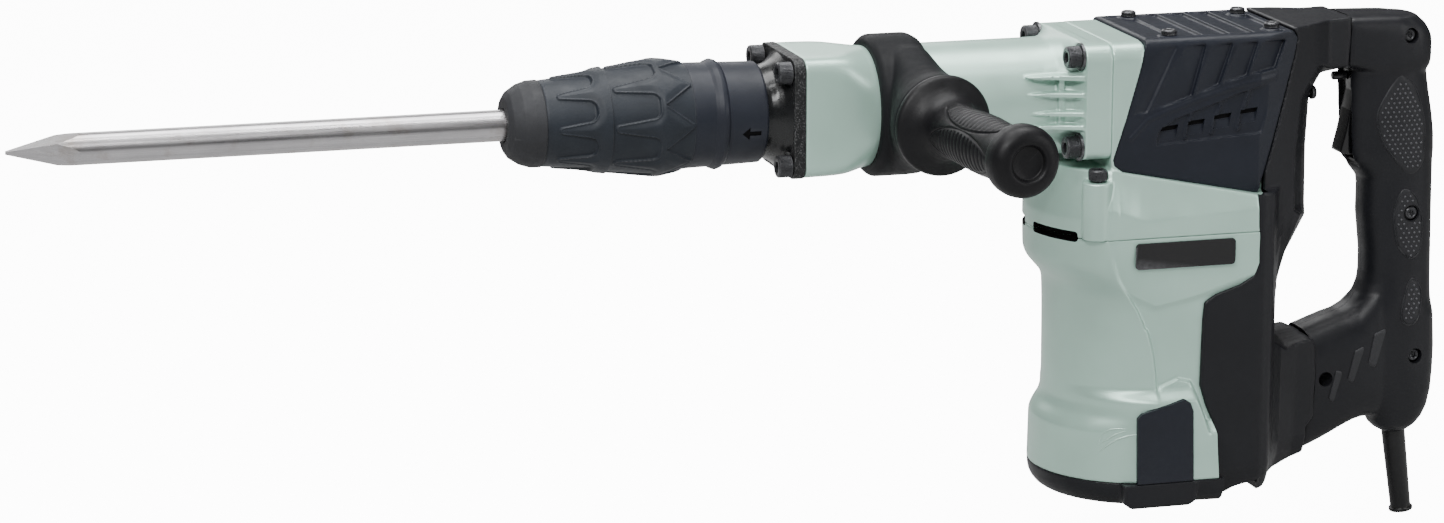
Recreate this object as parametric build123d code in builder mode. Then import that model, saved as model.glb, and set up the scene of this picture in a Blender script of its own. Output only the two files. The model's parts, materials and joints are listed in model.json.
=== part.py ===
from build123d import *
import os
from math import acos, cos, pi, radians, sin, tan

# Electric demolition hammer with bull point, gear train, motor and handles.
# Frame: origin at the mouth of the tool socket on the striking axis, +X
# rearwards along that axis, +Z up, +Y to the right-hand side. Millimetres.
# Outlines are lists of (x, z) unless a comment says otherwise; profiles
# turned about the striking axis are lists of (x, radius).

os.makedirs("parts", exist_ok=True)

# ------------------------------------------------------- shared dimensions
# chisel and chuck
shank_r = 9.0
chisel_tip_x, shank_end_x = -279.5, 120.5
ball_x, ball_z, ball_r = 62.0, 10.65, 4.0     # locking balls, above and below the axis
cap_end_x, grip_end_x, sleeve_end_x = 20.5, 105.0, 148.6
sleeve_bore_r = 27.25
collar_bore_r = 22.5                # rear bore of the grip, front bore of the sleeve
holder_nose_r, holder_body_r = 13.5, 22.0

# striking gear
plate_half, plate_corner_r = 35.0, 8.0        # front cover and cylinder block
plate_front_x, plate_rear_x = 161.0, 168.5
block_rear_x, barrel_front_x, barrel_r = 196.0, 212.0, 34.7
flange_front_x, flange_rear_x = 333.5, 349.5
front_bolt_y, front_bolt_z = 28.5, 27.0
front_bolt_spots = [(y, z) for y in (-front_bolt_y, front_bolt_y)
                    for z in (-front_bolt_z, front_bolt_z)]
rear_bolt_y = 36.6
rear_bolt_spots = [(y, z) for z in (29.0, -24.0) for y in (rear_bolt_y, -rear_bolt_y)]
bolt_r = 4.0
liner_r, liner_bore_r = 22.5, 19.0
piston_r = liner_bore_r - 0.05
pin_r = 6.0                         # wrist pin and crank pin

# crank and gears
crank_x = 384.0                     # crankshaft and motor axis
crank_throw, rod_len = 15.0, 72.0
crank_pin_x = crank_x - crank_throw           # drawn at front dead centre
wrist_x = crank_pin_x - rod_len
motor_module, motor_teeth, inter_teeth = 1.2, 10, 40      # first reduction
crank_module, pinion_teeth, crank_teeth = 1.5, 12, 28     # second reduction
inter_x = crank_x + motor_module * (motor_teeth + inter_teeth) / 2
crank_journal_r, gear_seat_r = 10.0, 8.0
crank_bearing_r, inter_bearing_r, motor_bearing_r = 20.0, 8.5, 11.0
inter_journal_r = motor_journal_r = 4.0
journal_gap = 0.03                  # radial gap in the bearing bores

# casings
case_front_x, case_rear_x = 350.0, 446.0
case_half, lower_half = 46.0, 55.0            # half widths of upper and lower case
seam_z = -77.0                      # joint of crank case and motor housing
case_screw_spots = [(341, 46.5), (341, -46.5)]            # (x, y)
case_screw_bottom_z, case_screw_hole_r = -92.0, 2.6
case_head_z = -42.0                 # seat of the screw heads
motor_bore_r = 50.0
base_r, base_top_z = 62.0, -223.0
inset_half = 50.4                   # half width under the rear cover
cover_half = 54.0                   # rear cover half width


# ----------------------------------------------------------------- helpers
def outline(points):
    """Closed polygon face in the sketch in progress."""
    area = sum(a[0] * b[1] - b[0] * a[1] for a, b in zip(points, points[1:] + points[:1]))
    Polygon(*(points if area > 0 else points[::-1]), align=None)


def housing_section(front_x, shoulder_x, half, rear_x):
    """Housing footprint in the sketch in progress: bowed front, flat flanks and back."""
    add(Face(Wire([
        Edge.make_line((shoulder_x, -half), (rear_x, -half)),
        Edge.make_line((rear_x, -half), (rear_x, half)),
        Edge.make_line((rear_x, half), (shoulder_x, half)),
        Edge.make_three_point_arc((shoulder_x, half), (front_x, 0), (shoulder_x, -half)),
    ])))


def crank_plane(z):
    """Horizontal plane centred on the crank and motor axis."""
    return Plane((crank_x, 0, z))


def inter_plane(z):
    """Horizontal plane centred on the intermediate shaft."""
    return Plane((inter_x, 0, z))


def flank(side, distance):
    """Upright XZ plane on the left (side 1) or right (side -1) of the machine."""
    return Plane.XZ.offset(side * distance)


def turned(profile):
    """Part turned about the striking axis."""
    with BuildPart() as body:
        with BuildSketch(Plane.XZ):
            outline(profile)
        revolve(axis=Axis.X)
    return body


def locking_ball(z):
    """Ball in a window of the tool holder."""
    with BuildPart() as ball:
        with Locations((ball_x, 0, z)):
            Sphere(ball_r)
    return ball


def socket_bolts(spots, seat_x, head_len, shank_len, washer_len=0):
    """Hex socket bolts, heads to the front of seat_x and shanks to the rear."""
    washer_r, head_r, socket_r, socket_depth = 8.2, 6.5, 3.4, 4.2
    with BuildPart() as bolts:
        if washer_len:
            with BuildSketch(Plane.YZ.offset(seat_x)):
                with Locations(*spots):
                    Circle(washer_r)
            extrude(amount=-washer_len)
        with BuildSketch(Plane.YZ.offset(seat_x - washer_len)):
            with Locations(*spots):
                Circle(head_r)
        extrude(amount=-head_len)
        chamfer(bolts.edges().group_by(Axis.X)[0], 0.7)
        with BuildSketch(Plane.YZ.offset(seat_x - washer_len - head_len)):
            with Locations(*spots):
                RegularPolygon(socket_r, 6)
        extrude(amount=socket_depth, mode=Mode.SUBTRACT)
        with BuildSketch(Plane.YZ.offset(seat_x)):
            with Locations(*spots):
                Circle(bolt_r)
        extrude(amount=shank_len)
    return bolts


def bearing_pair(axis_x, lower_faces, height, ring, groove, two_sided=False):
    """Two bearings on an upright shaft; ring and groove are (outer, inner) radii."""
    groove_depth = 0.8
    with BuildPart() as bearings:
        for z in lower_faces:
            with BuildSketch(Plane((axis_x, 0, z))):
                Circle(ring[0])
                Circle(ring[1], mode=Mode.SUBTRACT)
            extrude(amount=height)
            for groove_z in (z, z + height - groove_depth) if two_sided else (z,):
                with BuildSketch(Plane((axis_x, 0, groove_z))):
                    Circle(groove[0])
                    Circle(groove[1], mode=Mode.SUBTRACT)
                extrude(amount=groove_depth, mode=Mode.SUBTRACT)
    return bearings


def gear_points(module, teeth, phase=0.0):
    """Involute spur gear outline with a tooth centred on phase degrees."""
    pressure = radians(20)
    thinning, addendum, dedendum = 0.78, 1.0, 1.3    # thin teeth leave backlash
    pitch_r = module * teeth / 2
    involute_r = pitch_r * cos(pressure)
    tip_r, root_r = pitch_r + addendum * module, pitch_r - dedendum * module
    base_angle = thinning * pi / (2 * teeth) + tan(pressure) - pressure

    def half_angle(r):
        if r <= involute_r:
            return base_angle * 0.94          # foot slightly undercut
        roll = acos(involute_r / r)
        return base_angle - (tan(roll) - roll)

    start_r = max(root_r, involute_r)
    first = 1 if root_r >= involute_r else 0
    steps = [root_r] + [start_r + (tip_r - start_r) * i / 4 for i in range(first, 5)]
    points = []
    for k in range(teeth):
        middle = 2 * pi * k / teeth + radians(phase)
        for r in steps:
            angle = middle - half_angle(r)
            points.append((r * cos(angle), r * sin(angle)))
        for r in reversed(steps):
            angle = middle + half_angle(r)
            points.append((r * cos(angle), r * sin(angle)))
    return points


# ======================================================== chisel and chuck
# Bull point: round bar, four-sided point, two closed lock grooves and two
# drive slots that run out at the shank end.
chisel_len = shank_end_x - chisel_tip_x
point_len, point_twist = 41.0, 12
tip_width, point_root_width = 1.6, 18.2
groove_r = ball_r + 0.12
groove_x, groove_len = ball_x - 0.6, 12.0 + 1.2   # 12 mm travel and end play
with BuildPart() as point_form:
    with BuildSketch(Plane.YZ.offset(chisel_tip_x)):
        Rectangle(tip_width, tip_width, rotation=point_twist)
    with BuildSketch(Plane.YZ.offset(chisel_tip_x + point_len)):
        Rectangle(point_root_width, point_root_width, rotation=point_twist)
    loft()
    with BuildSketch(Plane.YZ.offset(chisel_tip_x + point_len - 0.2)):
        Rectangle(40, 40)
    extrude(amount=chisel_len)
with BuildPart() as bull_point:
    with BuildSketch(Plane.YZ.offset(chisel_tip_x)):
        Circle(shank_r)
    extrude(amount=chisel_len)
    add(point_form.part, mode=Mode.INTERSECT)
    for side in (1, -1):
        with BuildSketch(Plane.YZ.offset(groove_x)):
            with Locations((0, side * ball_z)):
                Circle(groove_r)
        extrude(amount=groove_len, mode=Mode.SUBTRACT)
        with Locations((groove_x, 0, side * ball_z), (groove_x + groove_len, 0, side * ball_z)):
            Sphere(groove_r, mode=Mode.SUBTRACT)
        with Locations((101, side * 8.5, 0)):
            Box(42, 4.0, 6.0, mode=Mode.SUBTRACT)
    chamfer(bull_point.edges().filter_by(GeomType.CIRCLE).sort_by(Axis.X)[-2:], 0.8)

# Dust cap: rubber nose with a domed front.
front_cap = turned([
    (0, 9.5), (0, 16.4), (1.2, 18.4), (4, 20), (8, 22.6), (12.7, 24.4), (17, 24.9),
    (cap_end_x, 25.1), (cap_end_x, 14.2), (8, 14.2), (8, 9.5),
])

# Grip: elastomer moulding that widens rearwards, with flutes between its eight lobes.
ring_front_x, ring_rear_x, ring_outer_r = 48, 76, 21      # retainer ring inside
grip_profile = [
    (cap_end_x, 25.4), (30, 26.5), (39, 27.4), (48, 28.6), (54, 29.6), (58, 30.4),
    (65.5, 31.3), (74, 32.9), (80, 33.7), (83, 34.0), (86, 33.8), (92, 33.3), (100, 32.3),
    (grip_end_x, 31), (grip_end_x, collar_bore_r), (ring_rear_x, collar_bore_r),
    (ring_rear_x, ring_outer_r), (ring_front_x, ring_outer_r), (ring_front_x, 18.6),
    (cap_end_x, 18.6),
]
grip_flutes = [(36, 27.9, 24, 9), (72, 34.4, 22, 8)]      # (x, radius, length, width)
lobe_count = 8
lobe_pitch = 360 / lobe_count
with BuildPart() as chuck_grip:
    with BuildSketch(Plane.XZ):
        outline(grip_profile)
    revolve(axis=Axis.X)
    for flute_x, flute_r, length, width in grip_flutes:
        angles = [lobe_pitch / 2 + lobe_pitch * k for k in range(lobe_count)]
        with Locations([
            Location((flute_x, flute_r * sin(radians(a)), flute_r * cos(radians(a))), (-a, 0, 0))
            for a in angles
        ]):
            Box(length, width, 3.0, mode=Mode.SUBTRACT)

# Operating sleeve: smooth collar with a bead, an arrow cut on both sides.
arrow = [(132.6, -7), (137.2, -3.2), (137.2, -5.7), (143.8, -5.7), (143.8, -8.3),
         (137.2, -8.3), (137.2, -10.8)]
arrow_floor_r = 28.7
sleeve_profile = [
    (grip_end_x, 30.4), (118.6, 30), (120, 31.2), (122, 32), (124.2, 31.2), (125.8, 29.7),
    (147.4, 29.1), (sleeve_end_x, 28.2), (sleeve_end_x, sleeve_bore_r),
    (129.4, sleeve_bore_r), (129.4, collar_bore_r), (grip_end_x, collar_bore_r),
]
with BuildPart() as arrow_cut:
    with BuildSketch(Plane.XZ):
        outline(arrow)
    extrude(amount=40, both=True)
    with BuildSketch(Plane.YZ.offset(130)):
        Circle(33)
        Circle(arrow_floor_r, mode=Mode.SUBTRACT)
    extrude(amount=16, mode=Mode.INTERSECT)
with BuildPart() as operating_sleeve:
    with BuildSketch(Plane.XZ):
        outline(sleeve_profile)
    revolve(axis=Axis.X)
    add(arrow_cut.part, mode=Mode.SUBTRACT)

# Retainer ring: holds the balls in the grooves, its cone lets them out.
ring_bore_r = ball_z + ball_r + 0.07
cone_front_x, cone_rear_x, cone_slope = 61, 75, 0.3
cone_r = ring_bore_r + cone_slope * (cone_rear_x - cone_front_x)
retainer_ring = turned([
    (ring_front_x, ring_bore_r), (cone_front_x, ring_bore_r), (cone_rear_x, cone_r),
    (ring_rear_x, cone_r), (ring_rear_x, ring_outer_r), (ring_front_x, ring_outer_r),
])

# Chuck spring between the holder's stop collar and the ring.
spring_wire_r = 1.1
with BuildPart() as chuck_spring:
    with BuildLine() as spring_path:
        Helix(pitch=4.4, height=19.4, radius=15.9, center=(26.8, 0, 0), direction=(1, 0, 0))
    with BuildSketch(Plane(origin=spring_path.line @ 0, z_dir=spring_path.line % 0)):
        Circle(spring_wire_r)
    sweep(is_frenet=True)

locking_ball_upper = locking_ball(ball_z)
locking_ball_lower = locking_ball(-ball_z)

# Tool holder: guides the shank, carries the ball windows, the stop collar and
# two drive keys, and guides the impact bolt at its rear.
socket_r = shank_r + 0.05
bolt_guide_r = 15.0
holder_rear_x = 176
holder_rib_front_x, holder_rib_rear_x, holder_rib_r = plate_rear_x, 172, 27
with BuildPart() as tool_holder:
    with BuildSketch(Plane.XZ):
        outline([
            (9, shank_r + 0.6), (9.8, 13), (11, holder_nose_r), (22, holder_nose_r),
            (22, 18), (25, 18), (25, holder_nose_r), (80, holder_nose_r),
            (81, holder_body_r), (holder_rib_front_x, holder_body_r),
            (holder_rib_front_x, holder_rib_r), (holder_rib_rear_x, holder_rib_r),
            (holder_rib_rear_x, holder_body_r), (holder_rear_x, holder_body_r),
            (holder_rear_x, bolt_guide_r), (123, bolt_guide_r), (122, 14),
            (122, socket_r), (10, socket_r),
        ])
    revolve(axis=Axis.X)
    with BuildSketch(Plane.XY):
        with Locations((ball_x, 0)):
            Circle(ball_r + 0.06)
    extrude(amount=20, both=True, mode=Mode.SUBTRACT)
    with Locations((106.5, 8.2, 0), (106.5, -8.2, 0)):
        Box(23, 2.8, 5.6)

# =========================================================== striking gear
# Front cover: square plate with a neck that flares into it, spot-faced for the bolts.
neck_front_x, neck_r, spot_face_x = 130, 27.0, 156
with BuildPart() as front_cover:
    with BuildSketch(Plane.YZ.offset(plate_front_x)):
        RectangleRounded(2 * plate_half, 2 * plate_half, plate_corner_r)
    extrude(amount=plate_rear_x - plate_front_x)
    chamfer(front_cover.faces().sort_by(Axis.X)[0].edges(), 1.4)
    with BuildSketch(Plane.XZ):
        outline([
            (neck_front_x, holder_body_r), (neck_front_x, neck_r - 0.8),
            (neck_front_x + 0.8, neck_r), (156.4, neck_r), (161.2, 33.5),
            (161.2, holder_body_r),
        ])
    revolve(axis=Axis.X)
    with BuildSketch(Plane.YZ.offset(neck_front_x)):
        Circle(holder_body_r)
    extrude(amount=60, mode=Mode.SUBTRACT)
    for hole_r, depth in ((7.2, plate_front_x - spot_face_x), (4.1, 20)):
        with BuildSketch(Plane.YZ.offset(spot_face_x)):
            with Locations(*front_bolt_spots):
                Circle(hole_r)
        extrude(amount=depth, mode=Mode.SUBTRACT)

front_cover_bolts = socket_bolts(front_bolt_spots, plate_front_x, head_len=8.4, shank_len=28)

damper_ring = turned([(176.05, 15.5), (176.05, 25.9), (184, 25.9), (184, 12), (180, 12),
                      (180, 15.5)])

impact_bolt = turned([
    (120.6, 0), (120.6, 6.0), (121.2, 6.6), (130.6, 6.6), (131.2, 8.8), (134, 8.8),
    (137, bolt_guide_r - 0.06), (166, bolt_guide_r - 0.06), (169, 9.5), (181.4, 9.5),
    (182, 8.8), (182, 0),
])

# Striker: free piston with a groove for its O-ring.
striker_groove_r = 16.6
striker = turned([
    (183, 0), (183, 9), (184, 10), (195, 10), (197, 18.4), (197.6, piston_r),
    (228, piston_r), (228, striker_groove_r), (232, striker_groove_r), (232, piston_r),
    (245, piston_r), (245, 0),
])
striker_o_ring = turned([
    (228.2, striker_groove_r), (228.2, 18.0), (229, piston_r), (231, piston_r),
    (231.8, 18.0), (231.8, striker_groove_r),
])

# Cylinder liner with a small radial hole on top.
with BuildPart() as cylinder_liner:
    with BuildSketch(Plane.XZ):
        outline([(186, liner_bore_r), (186, 21.8), (186.7, liner_r), (349.3, liner_r),
                 (349.3, liner_bore_r)])
    revolve(axis=Axis.X)
    with BuildSketch(Plane.XY):
        with Locations((258, 0)):
            Circle(1.5)
    extrude(amount=30, mode=Mode.SUBTRACT)

# Cylinder case: square front block that blends into the barrel, cooling fins
# and the rear flange.
flange_half_y, flange_bottom_z, flange_top_z = 46.0, -31.0, 37.0
fin_thickness = 2.6
fin_zs = (17.5, 7.5, -3.7, -11.5)
fin_edge = [(303, 20), (310, 36), (322, 39.5), (flange_front_x + 1, 45)]  # (x, y), right half
fin_plan = fin_edge + [(x, -y) for x, y in reversed(fin_edge)]
case_bore = [(160, 0), (160, 27.02), (172, 27.02), (172, 26), (184, 26), (184, liner_r),
             (360, liner_r), (360, 0)]
with BuildPart() as cylinder_case:
    with BuildSketch(Plane.YZ.offset(plate_rear_x)):
        RectangleRounded(2 * plate_half, 2 * plate_half, plate_corner_r)
    extrude(amount=block_rear_x - plate_rear_x)
    with BuildSketch(Plane.YZ.offset(block_rear_x)):
        RectangleRounded(2 * plate_half, 2 * plate_half, plate_corner_r)
    with BuildSketch(Plane.YZ.offset(barrel_front_x)):
        RectangleRounded(2 * barrel_r, 2 * barrel_r, barrel_r - 0.02)
    loft(ruled=True)
    with BuildSketch(Plane.YZ.offset(barrel_front_x)):
        Circle(barrel_r)
    extrude(amount=flange_front_x - barrel_front_x)
    with BuildSketch(Plane.YZ.offset(flange_front_x)):
        with Locations((0, (flange_bottom_z + flange_top_z) / 2)):
            RectangleRounded(2 * flange_half_y, flange_top_z - flange_bottom_z, 8)
    extrude(amount=flange_rear_x - flange_front_x)
    for z in fin_zs:
        with BuildSketch(Plane.XY.offset(z - fin_thickness / 2)):
            outline(fin_plan)
        extrude(amount=fin_thickness)
    with BuildSketch(Plane.XZ):
        outline(case_bore)
    revolve(axis=Axis.X, mode=Mode.SUBTRACT)
    with BuildSketch(Plane.YZ.offset(plate_rear_x - 1)):
        with Locations(*front_bolt_spots):
            Circle(bolt_r + 0.05)
    extrude(amount=23, mode=Mode.SUBTRACT)
    with BuildSketch(Plane.YZ.offset(flange_front_x - 1)):
        with Locations(*rear_bolt_spots):
            Circle(bolt_r + 0.1)
    extrude(amount=30, mode=Mode.SUBTRACT)

cylinder_case_bolts = socket_bolts(rear_bolt_spots, flange_front_x, head_len=8,
                                   shank_len=39, washer_len=1.6)

# Piston, slotted at the rear for the connecting rod and cross-bored upright.
with BuildPart() as piston:
    with BuildSketch(Plane.XZ):
        outline([(274, 0), (274, 18.2), (274.8, piston_r), (316, piston_r), (316, 0)])
    revolve(axis=Axis.X)
    with Locations((300, 0, 0)):
        Box(34, 60, 13, mode=Mode.SUBTRACT)
    with BuildSketch(Plane.XY):
        with Locations((wrist_x, 0)):
            Circle(pin_r)
    extrude(amount=30, both=True, mode=Mode.SUBTRACT)
with BuildPart() as wrist_pin:
    with BuildSketch(Plane.XY):
        with Locations((wrist_x, 0)):
            Circle(pin_r)
            Circle(3, mode=Mode.SUBTRACT)
    extrude(amount=17, both=True)

rod_eye_half, rod_web_half = 6, 4             # half heights
with BuildPart() as connecting_rod:
    with BuildSketch(Plane.XY):
        with Locations((wrist_x, 0)):
            Circle(10)
        with Locations((crank_pin_x, 0)):
            Circle(13)
    extrude(amount=rod_eye_half, both=True)
    with BuildSketch(Plane.XY):
        outline([(wrist_x, -6.0), (crank_pin_x, -7.4), (crank_pin_x, 7.4), (wrist_x, 6.0)])
    extrude(amount=rod_web_half, both=True)
    with BuildSketch(Plane.XY):
        with Locations((wrist_x, 0)):
            Circle(pin_r + 0.05)
        with Locations((crank_pin_x, 0)):
            Circle(pin_r)
    extrude(amount=10, both=True, mode=Mode.SUBTRACT)

# The pin rides in the rod's big end and stops just above the crank disc.
with BuildPart() as crank_pin:
    for z, radius, height in ((-14, pin_r, 21), (rod_eye_half + 0.02, 8, 1.6)):
        with BuildSketch(Plane.XY.offset(z)):
            with Locations((crank_pin_x, 0)):
                Circle(radius)
        extrude(amount=height)

# ============================================================== gear train
# Crankshaft: disc with two blind holes in front of its axis, journal and gear seat.
disc_z, journal_z, crank_bottom_z = -24, -38, -49.5
with BuildPart() as crankshaft:
    with BuildSketch(crank_plane(disc_z)):
        Circle(24)
        Rectangle(50, 28)
    extrude(amount=9.6)
    with BuildSketch(crank_plane(journal_z)):
        Circle(crank_journal_r)
    extrude(amount=disc_z - journal_z)
    with BuildSketch(crank_plane(crank_bottom_z)):
        Circle(gear_seat_r)
    extrude(amount=journal_z - crank_bottom_z)
    with BuildSketch(crank_plane(disc_z - 0.5)):
        with Locations((-20, 18), (-20, -18)):
            Circle(5)
    extrude(amount=20, mode=Mode.SUBTRACT)

crank_bearings = bearing_pair(
    crank_x, (-31, -37.5), height=6, ring=(crank_bearing_r, crank_journal_r + journal_gap),
    groove=(17, 13.4), two_sided=True)

with BuildPart() as crank_gear:
    with BuildSketch(crank_plane(-48)):
        outline(gear_points(crank_module, crank_teeth))
        Circle(gear_seat_r, mode=Mode.SUBTRACT)
    extrude(amount=10)

# Intermediate gear, pinion and shaft in one piece; a tooth gap faces each mating gear.
with BuildPart() as intermediate_gear:
    for z, module, teeth, height in ((-62, motor_module, inter_teeth, 10),
                                     (-49, crank_module, pinion_teeth, 11)):
        with BuildSketch(inter_plane(z)):
            outline(gear_points(module, teeth, phase=180 + 180 / teeth))
        extrude(amount=height)
    for z, radius, height in ((-65.8, 6, 26), (-73, inter_journal_r, 45)):
        with BuildSketch(inter_plane(z)):
            Circle(radius)
        extrude(amount=height)

intermediate_bearings = bearing_pair(
    inter_x, (-35, -73), height=7, ring=(inter_bearing_r, inter_journal_r + journal_gap),
    groove=(7.2, 5.4))

# ============================================================== crank case
# Side outline of the saddle cover, which the case is recessed for.
cover_side = [
    (370.8, 38.3), (365.7, 18.1), (358.3, -7.9), (350.8, -31.1), (351.5, -34.6),
    (356.5, -38.5), (392.7, -45.9), (441.9, -56), (449.9, -30.8), (458.4, -1.5),
    (465.8, 24.8), (467.4, 33.6), (464, 38.3),
]
# Front edge of the rear cover, on the flanks of the case and motor housing.
rear_front_edge = [
    (441.9, -54.2), (438.9, -54.4), (440.1, -95.8), (437.2, -103.4), (429.2, -108.3),
    (413.6, -113.3), (406.8, -117.7), (405.8, -128.4), (405, -167.7), (409.1, -180.2),
    (413.2, -189.6), (414.3, -208), (415.4, -223.0),
]
lower_front_x, lower_shoulder_x = 316, 345.5
skirt_height, skirt_top_z = 13, -37           # straight band above the seam, top of taper
web_z = -40                         # start of the bearing seat cuts
with BuildPart() as crank_case:
    with BuildSketch(Plane.YZ.offset(case_front_x)):
        with Locations((0, -2)):
            RectangleRounded(2 * case_half, 77, 9)
    extrude(amount=440 - case_front_x)
    with BuildSketch(Plane.XY.offset(seam_z)):
        housing_section(lower_front_x, lower_shoulder_x, lower_half, case_rear_x)
    extrude(amount=skirt_height)
    with BuildSketch(Plane.XY.offset(seam_z + skirt_height)):
        housing_section(lower_front_x, lower_shoulder_x, lower_half, case_rear_x)
    with BuildSketch(Plane.XY.offset(skirt_top_z)):
        housing_section(320, 350, 47, case_rear_x)
    loft(ruled=True)
    # corner columns for the screws that hold the motor housing
    with BuildSketch(Plane.XY.offset(seam_z)):
        with Locations(*case_screw_spots):
            Circle(8)
    extrude(amount=case_head_z - seam_z)
    # crank chamber, open towards the cylinder
    with Locations((387, 0, 3.5)):
        Box(88, 80, 55, mode=Mode.SUBTRACT)
    with BuildSketch(Plane.YZ.offset(case_front_x - 1)):
        Circle(23)
    extrude(amount=20, mode=Mode.SUBTRACT)
    # bosses for the cylinder bolts
    with BuildSketch(Plane.YZ.offset(case_front_x)):
        with Locations(*rear_bolt_spots):
            Circle(7.5)
    extrude(amount=26)
    # recess for the saddle cover
    for side in (1, -1):
        with BuildSketch(flank(side, 41)):
            outline(cover_side[:8] + [(470, -56), (470, 60), (370.8, 60)])
        extrude(amount=side * 20, mode=Mode.SUBTRACT)
    with Locations((420, 0, 44)):
        Box(101.6, 120, 20, mode=Mode.SUBTRACT)
    # recess for the rear cover
    for side in (1, -1):
        with BuildSketch(flank(side, inset_half)):
            outline([(438.9, -40)] + rear_front_edge[1:3] + [(480, -95.8), (480, -40)])
        extrude(amount=side * 20, mode=Mode.SUBTRACT)
    with BuildSketch(Plane.YZ.offset(case_front_x - 1)):
        with Locations(*rear_bolt_spots):
            Circle(bolt_r + 0.05)
    extrude(amount=25, mode=Mode.SUBTRACT)
    # gear chamber, open at the bottom
    with BuildSketch(Plane.XY.offset(seam_z)):
        housing_section(322, 349, 45, 441)
    extrude(amount=39.5, mode=Mode.SUBTRACT)
    # bearing seats in the web
    with BuildSketch(crank_plane(web_z)):
        Circle(crank_bearing_r)
    extrude(amount=20, mode=Mode.SUBTRACT)
    with BuildSketch(inter_plane(web_z)):
        Circle(inter_bearing_r)
    extrude(amount=12.5, mode=Mode.SUBTRACT)
    # room for the screw heads, then the screw holes
    with BuildSketch(Plane.XY.offset(case_head_z)):
        with Locations(*case_screw_spots):
            Circle(6.2)
    extrude(amount=20, mode=Mode.SUBTRACT)
    with BuildSketch(Plane.XY.offset(seam_z)):
        with Locations(*case_screw_spots, (430, 48), (430, -48)):
            Circle(case_screw_hole_r)
    extrude(amount=60, mode=Mode.SUBTRACT)
    # air slot at the joint, front left and front right
    with BuildSketch(Plane.XY.offset(seam_z)):
        with Locations((318, 30), (318, -30)):
            Rectangle(26, 30)
    extrude(amount=4.5, mode=Mode.SUBTRACT)

case_head_height = 6.4
with BuildPart() as crank_case_screws:
    with BuildSketch(Plane.XY.offset(case_head_z)):
        with Locations(*case_screw_spots):
            Circle(5.6)
    extrude(amount=case_head_height)
    with BuildSketch(Plane.XY.offset(-36.4)):
        with Locations(*case_screw_spots):
            RegularPolygon(2.8, 6)
    extrude(amount=3, mode=Mode.SUBTRACT)
    with BuildSketch(Plane.XY.offset(case_screw_bottom_z)):
        with Locations(*case_screw_spots):
            Circle(2.55)
    extrude(amount=case_head_z - case_screw_bottom_z)

# Gear plate: closes the gear chamber, seats the lower bearings.
with BuildPart() as gear_plate:
    with BuildSketch(Plane.XY.offset(seam_z)):
        housing_section(322.3, 349.2, 44.8, 440.8)
    extrude(amount=11)
    with BuildSketch(Plane.XY.offset(-73)):
        with Locations((crank_x, 0)):
            Circle(motor_bearing_r)
        with Locations((inter_x, 0)):
            Circle(inter_bearing_r)
    extrude(amount=10, mode=Mode.SUBTRACT)
    with BuildSketch(crank_plane(seam_z)):
        Circle(8)
    extrude(amount=10, mode=Mode.SUBTRACT)

# =================================================================== motor
shaft_r = 6.0
shaft_bottom_z = -222.6
stack_z, stack_len = -180, 60       # bottom and height of both laminated cores
brush_z = -205
winding_len = 12

shaft_steps = [                     # (bottom z, radius, height)
    (-80, motor_journal_r, 18), (-214, shaft_r, 136), (shaft_bottom_z, motor_journal_r, 10),
]
with BuildPart() as armature_shaft:
    with BuildSketch(crank_plane(-63)):
        outline(gear_points(motor_module, motor_teeth))
    extrude(amount=12)
    for z, radius, height in shaft_steps:
        with BuildSketch(crank_plane(z)):
            Circle(radius)
        extrude(amount=height)

with BuildPart() as armature_core:
    with BuildSketch(crank_plane(stack_z)):
        Circle(24)
        with PolarLocations(21.5, 12):
            Rectangle(7, 3, mode=Mode.SUBTRACT)
        Circle(shaft_r, mode=Mode.SUBTRACT)
    extrude(amount=stack_len)
with BuildPart() as armature_windings:
    for z in (stack_z - winding_len, stack_z + stack_len):
        with BuildSketch(crank_plane(z)):
            Circle(20)
            Circle(8, mode=Mode.SUBTRACT)
        extrude(amount=winding_len)
with BuildPart() as commutator:
    with BuildSketch(crank_plane(-212)):
        Circle(14)
        with PolarLocations(13.6, 24):
            Rectangle(1.4, 0.6, mode=Mode.SUBTRACT)
        Circle(shaft_r, mode=Mode.SUBTRACT)
    extrude(amount=16)

# Cooling fan: back disc on top, hub and twelve straight blades.
with BuildPart() as cooling_fan:
    for z, radius, height in ((-84, 42, 2), (-94, 11, 11)):
        with BuildSketch(crank_plane(z)):
            Circle(radius)
            Circle(shaft_r, mode=Mode.SUBTRACT)
        extrude(amount=height)
    with BuildSketch(crank_plane(-95)):
        with PolarLocations(27, 12):
            Rectangle(26, 2)
    extrude(amount=12)

motor_bearings = bearing_pair(
    crank_x, (-73, shaft_bottom_z), height=7,
    ring=(motor_bearing_r, motor_journal_r + journal_gap), groove=(9.4, 6.2))

with BuildPart() as stator_core:
    with BuildSketch(crank_plane(stack_z)):
        Circle(motor_bore_r - 0.05)
        Circle(25, mode=Mode.SUBTRACT)
        with Locations((0, 34), (0, -34)):
            Rectangle(44, 10, mode=Mode.SUBTRACT)
    extrude(amount=stack_len)
with BuildPart() as field_coils:
    for z in (-196, -119.9):
        for side in (1, -1):
            with BuildSketch(crank_plane(z)):
                with Locations((0, side * 36)):
                    RectangleRounded(50, 13, 4)
            extrude(amount=15.9)

with BuildPart() as brush_holders:
    for side in (1, -1):
        with BuildSketch(flank(side, 16)):
            with Locations((crank_x, brush_z)):
                Rectangle(13, 12)
                Rectangle(8.2, 7.2, mode=Mode.SUBTRACT)
        extrude(amount=side * 27)
with BuildPart() as carbon_brushes:
    for side in (1, -1):
        with BuildSketch(flank(side, 14.1)):
            with Locations((crank_x, brush_z)):
                Rectangle(8, 7)
        extrude(amount=side * 22)

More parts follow.
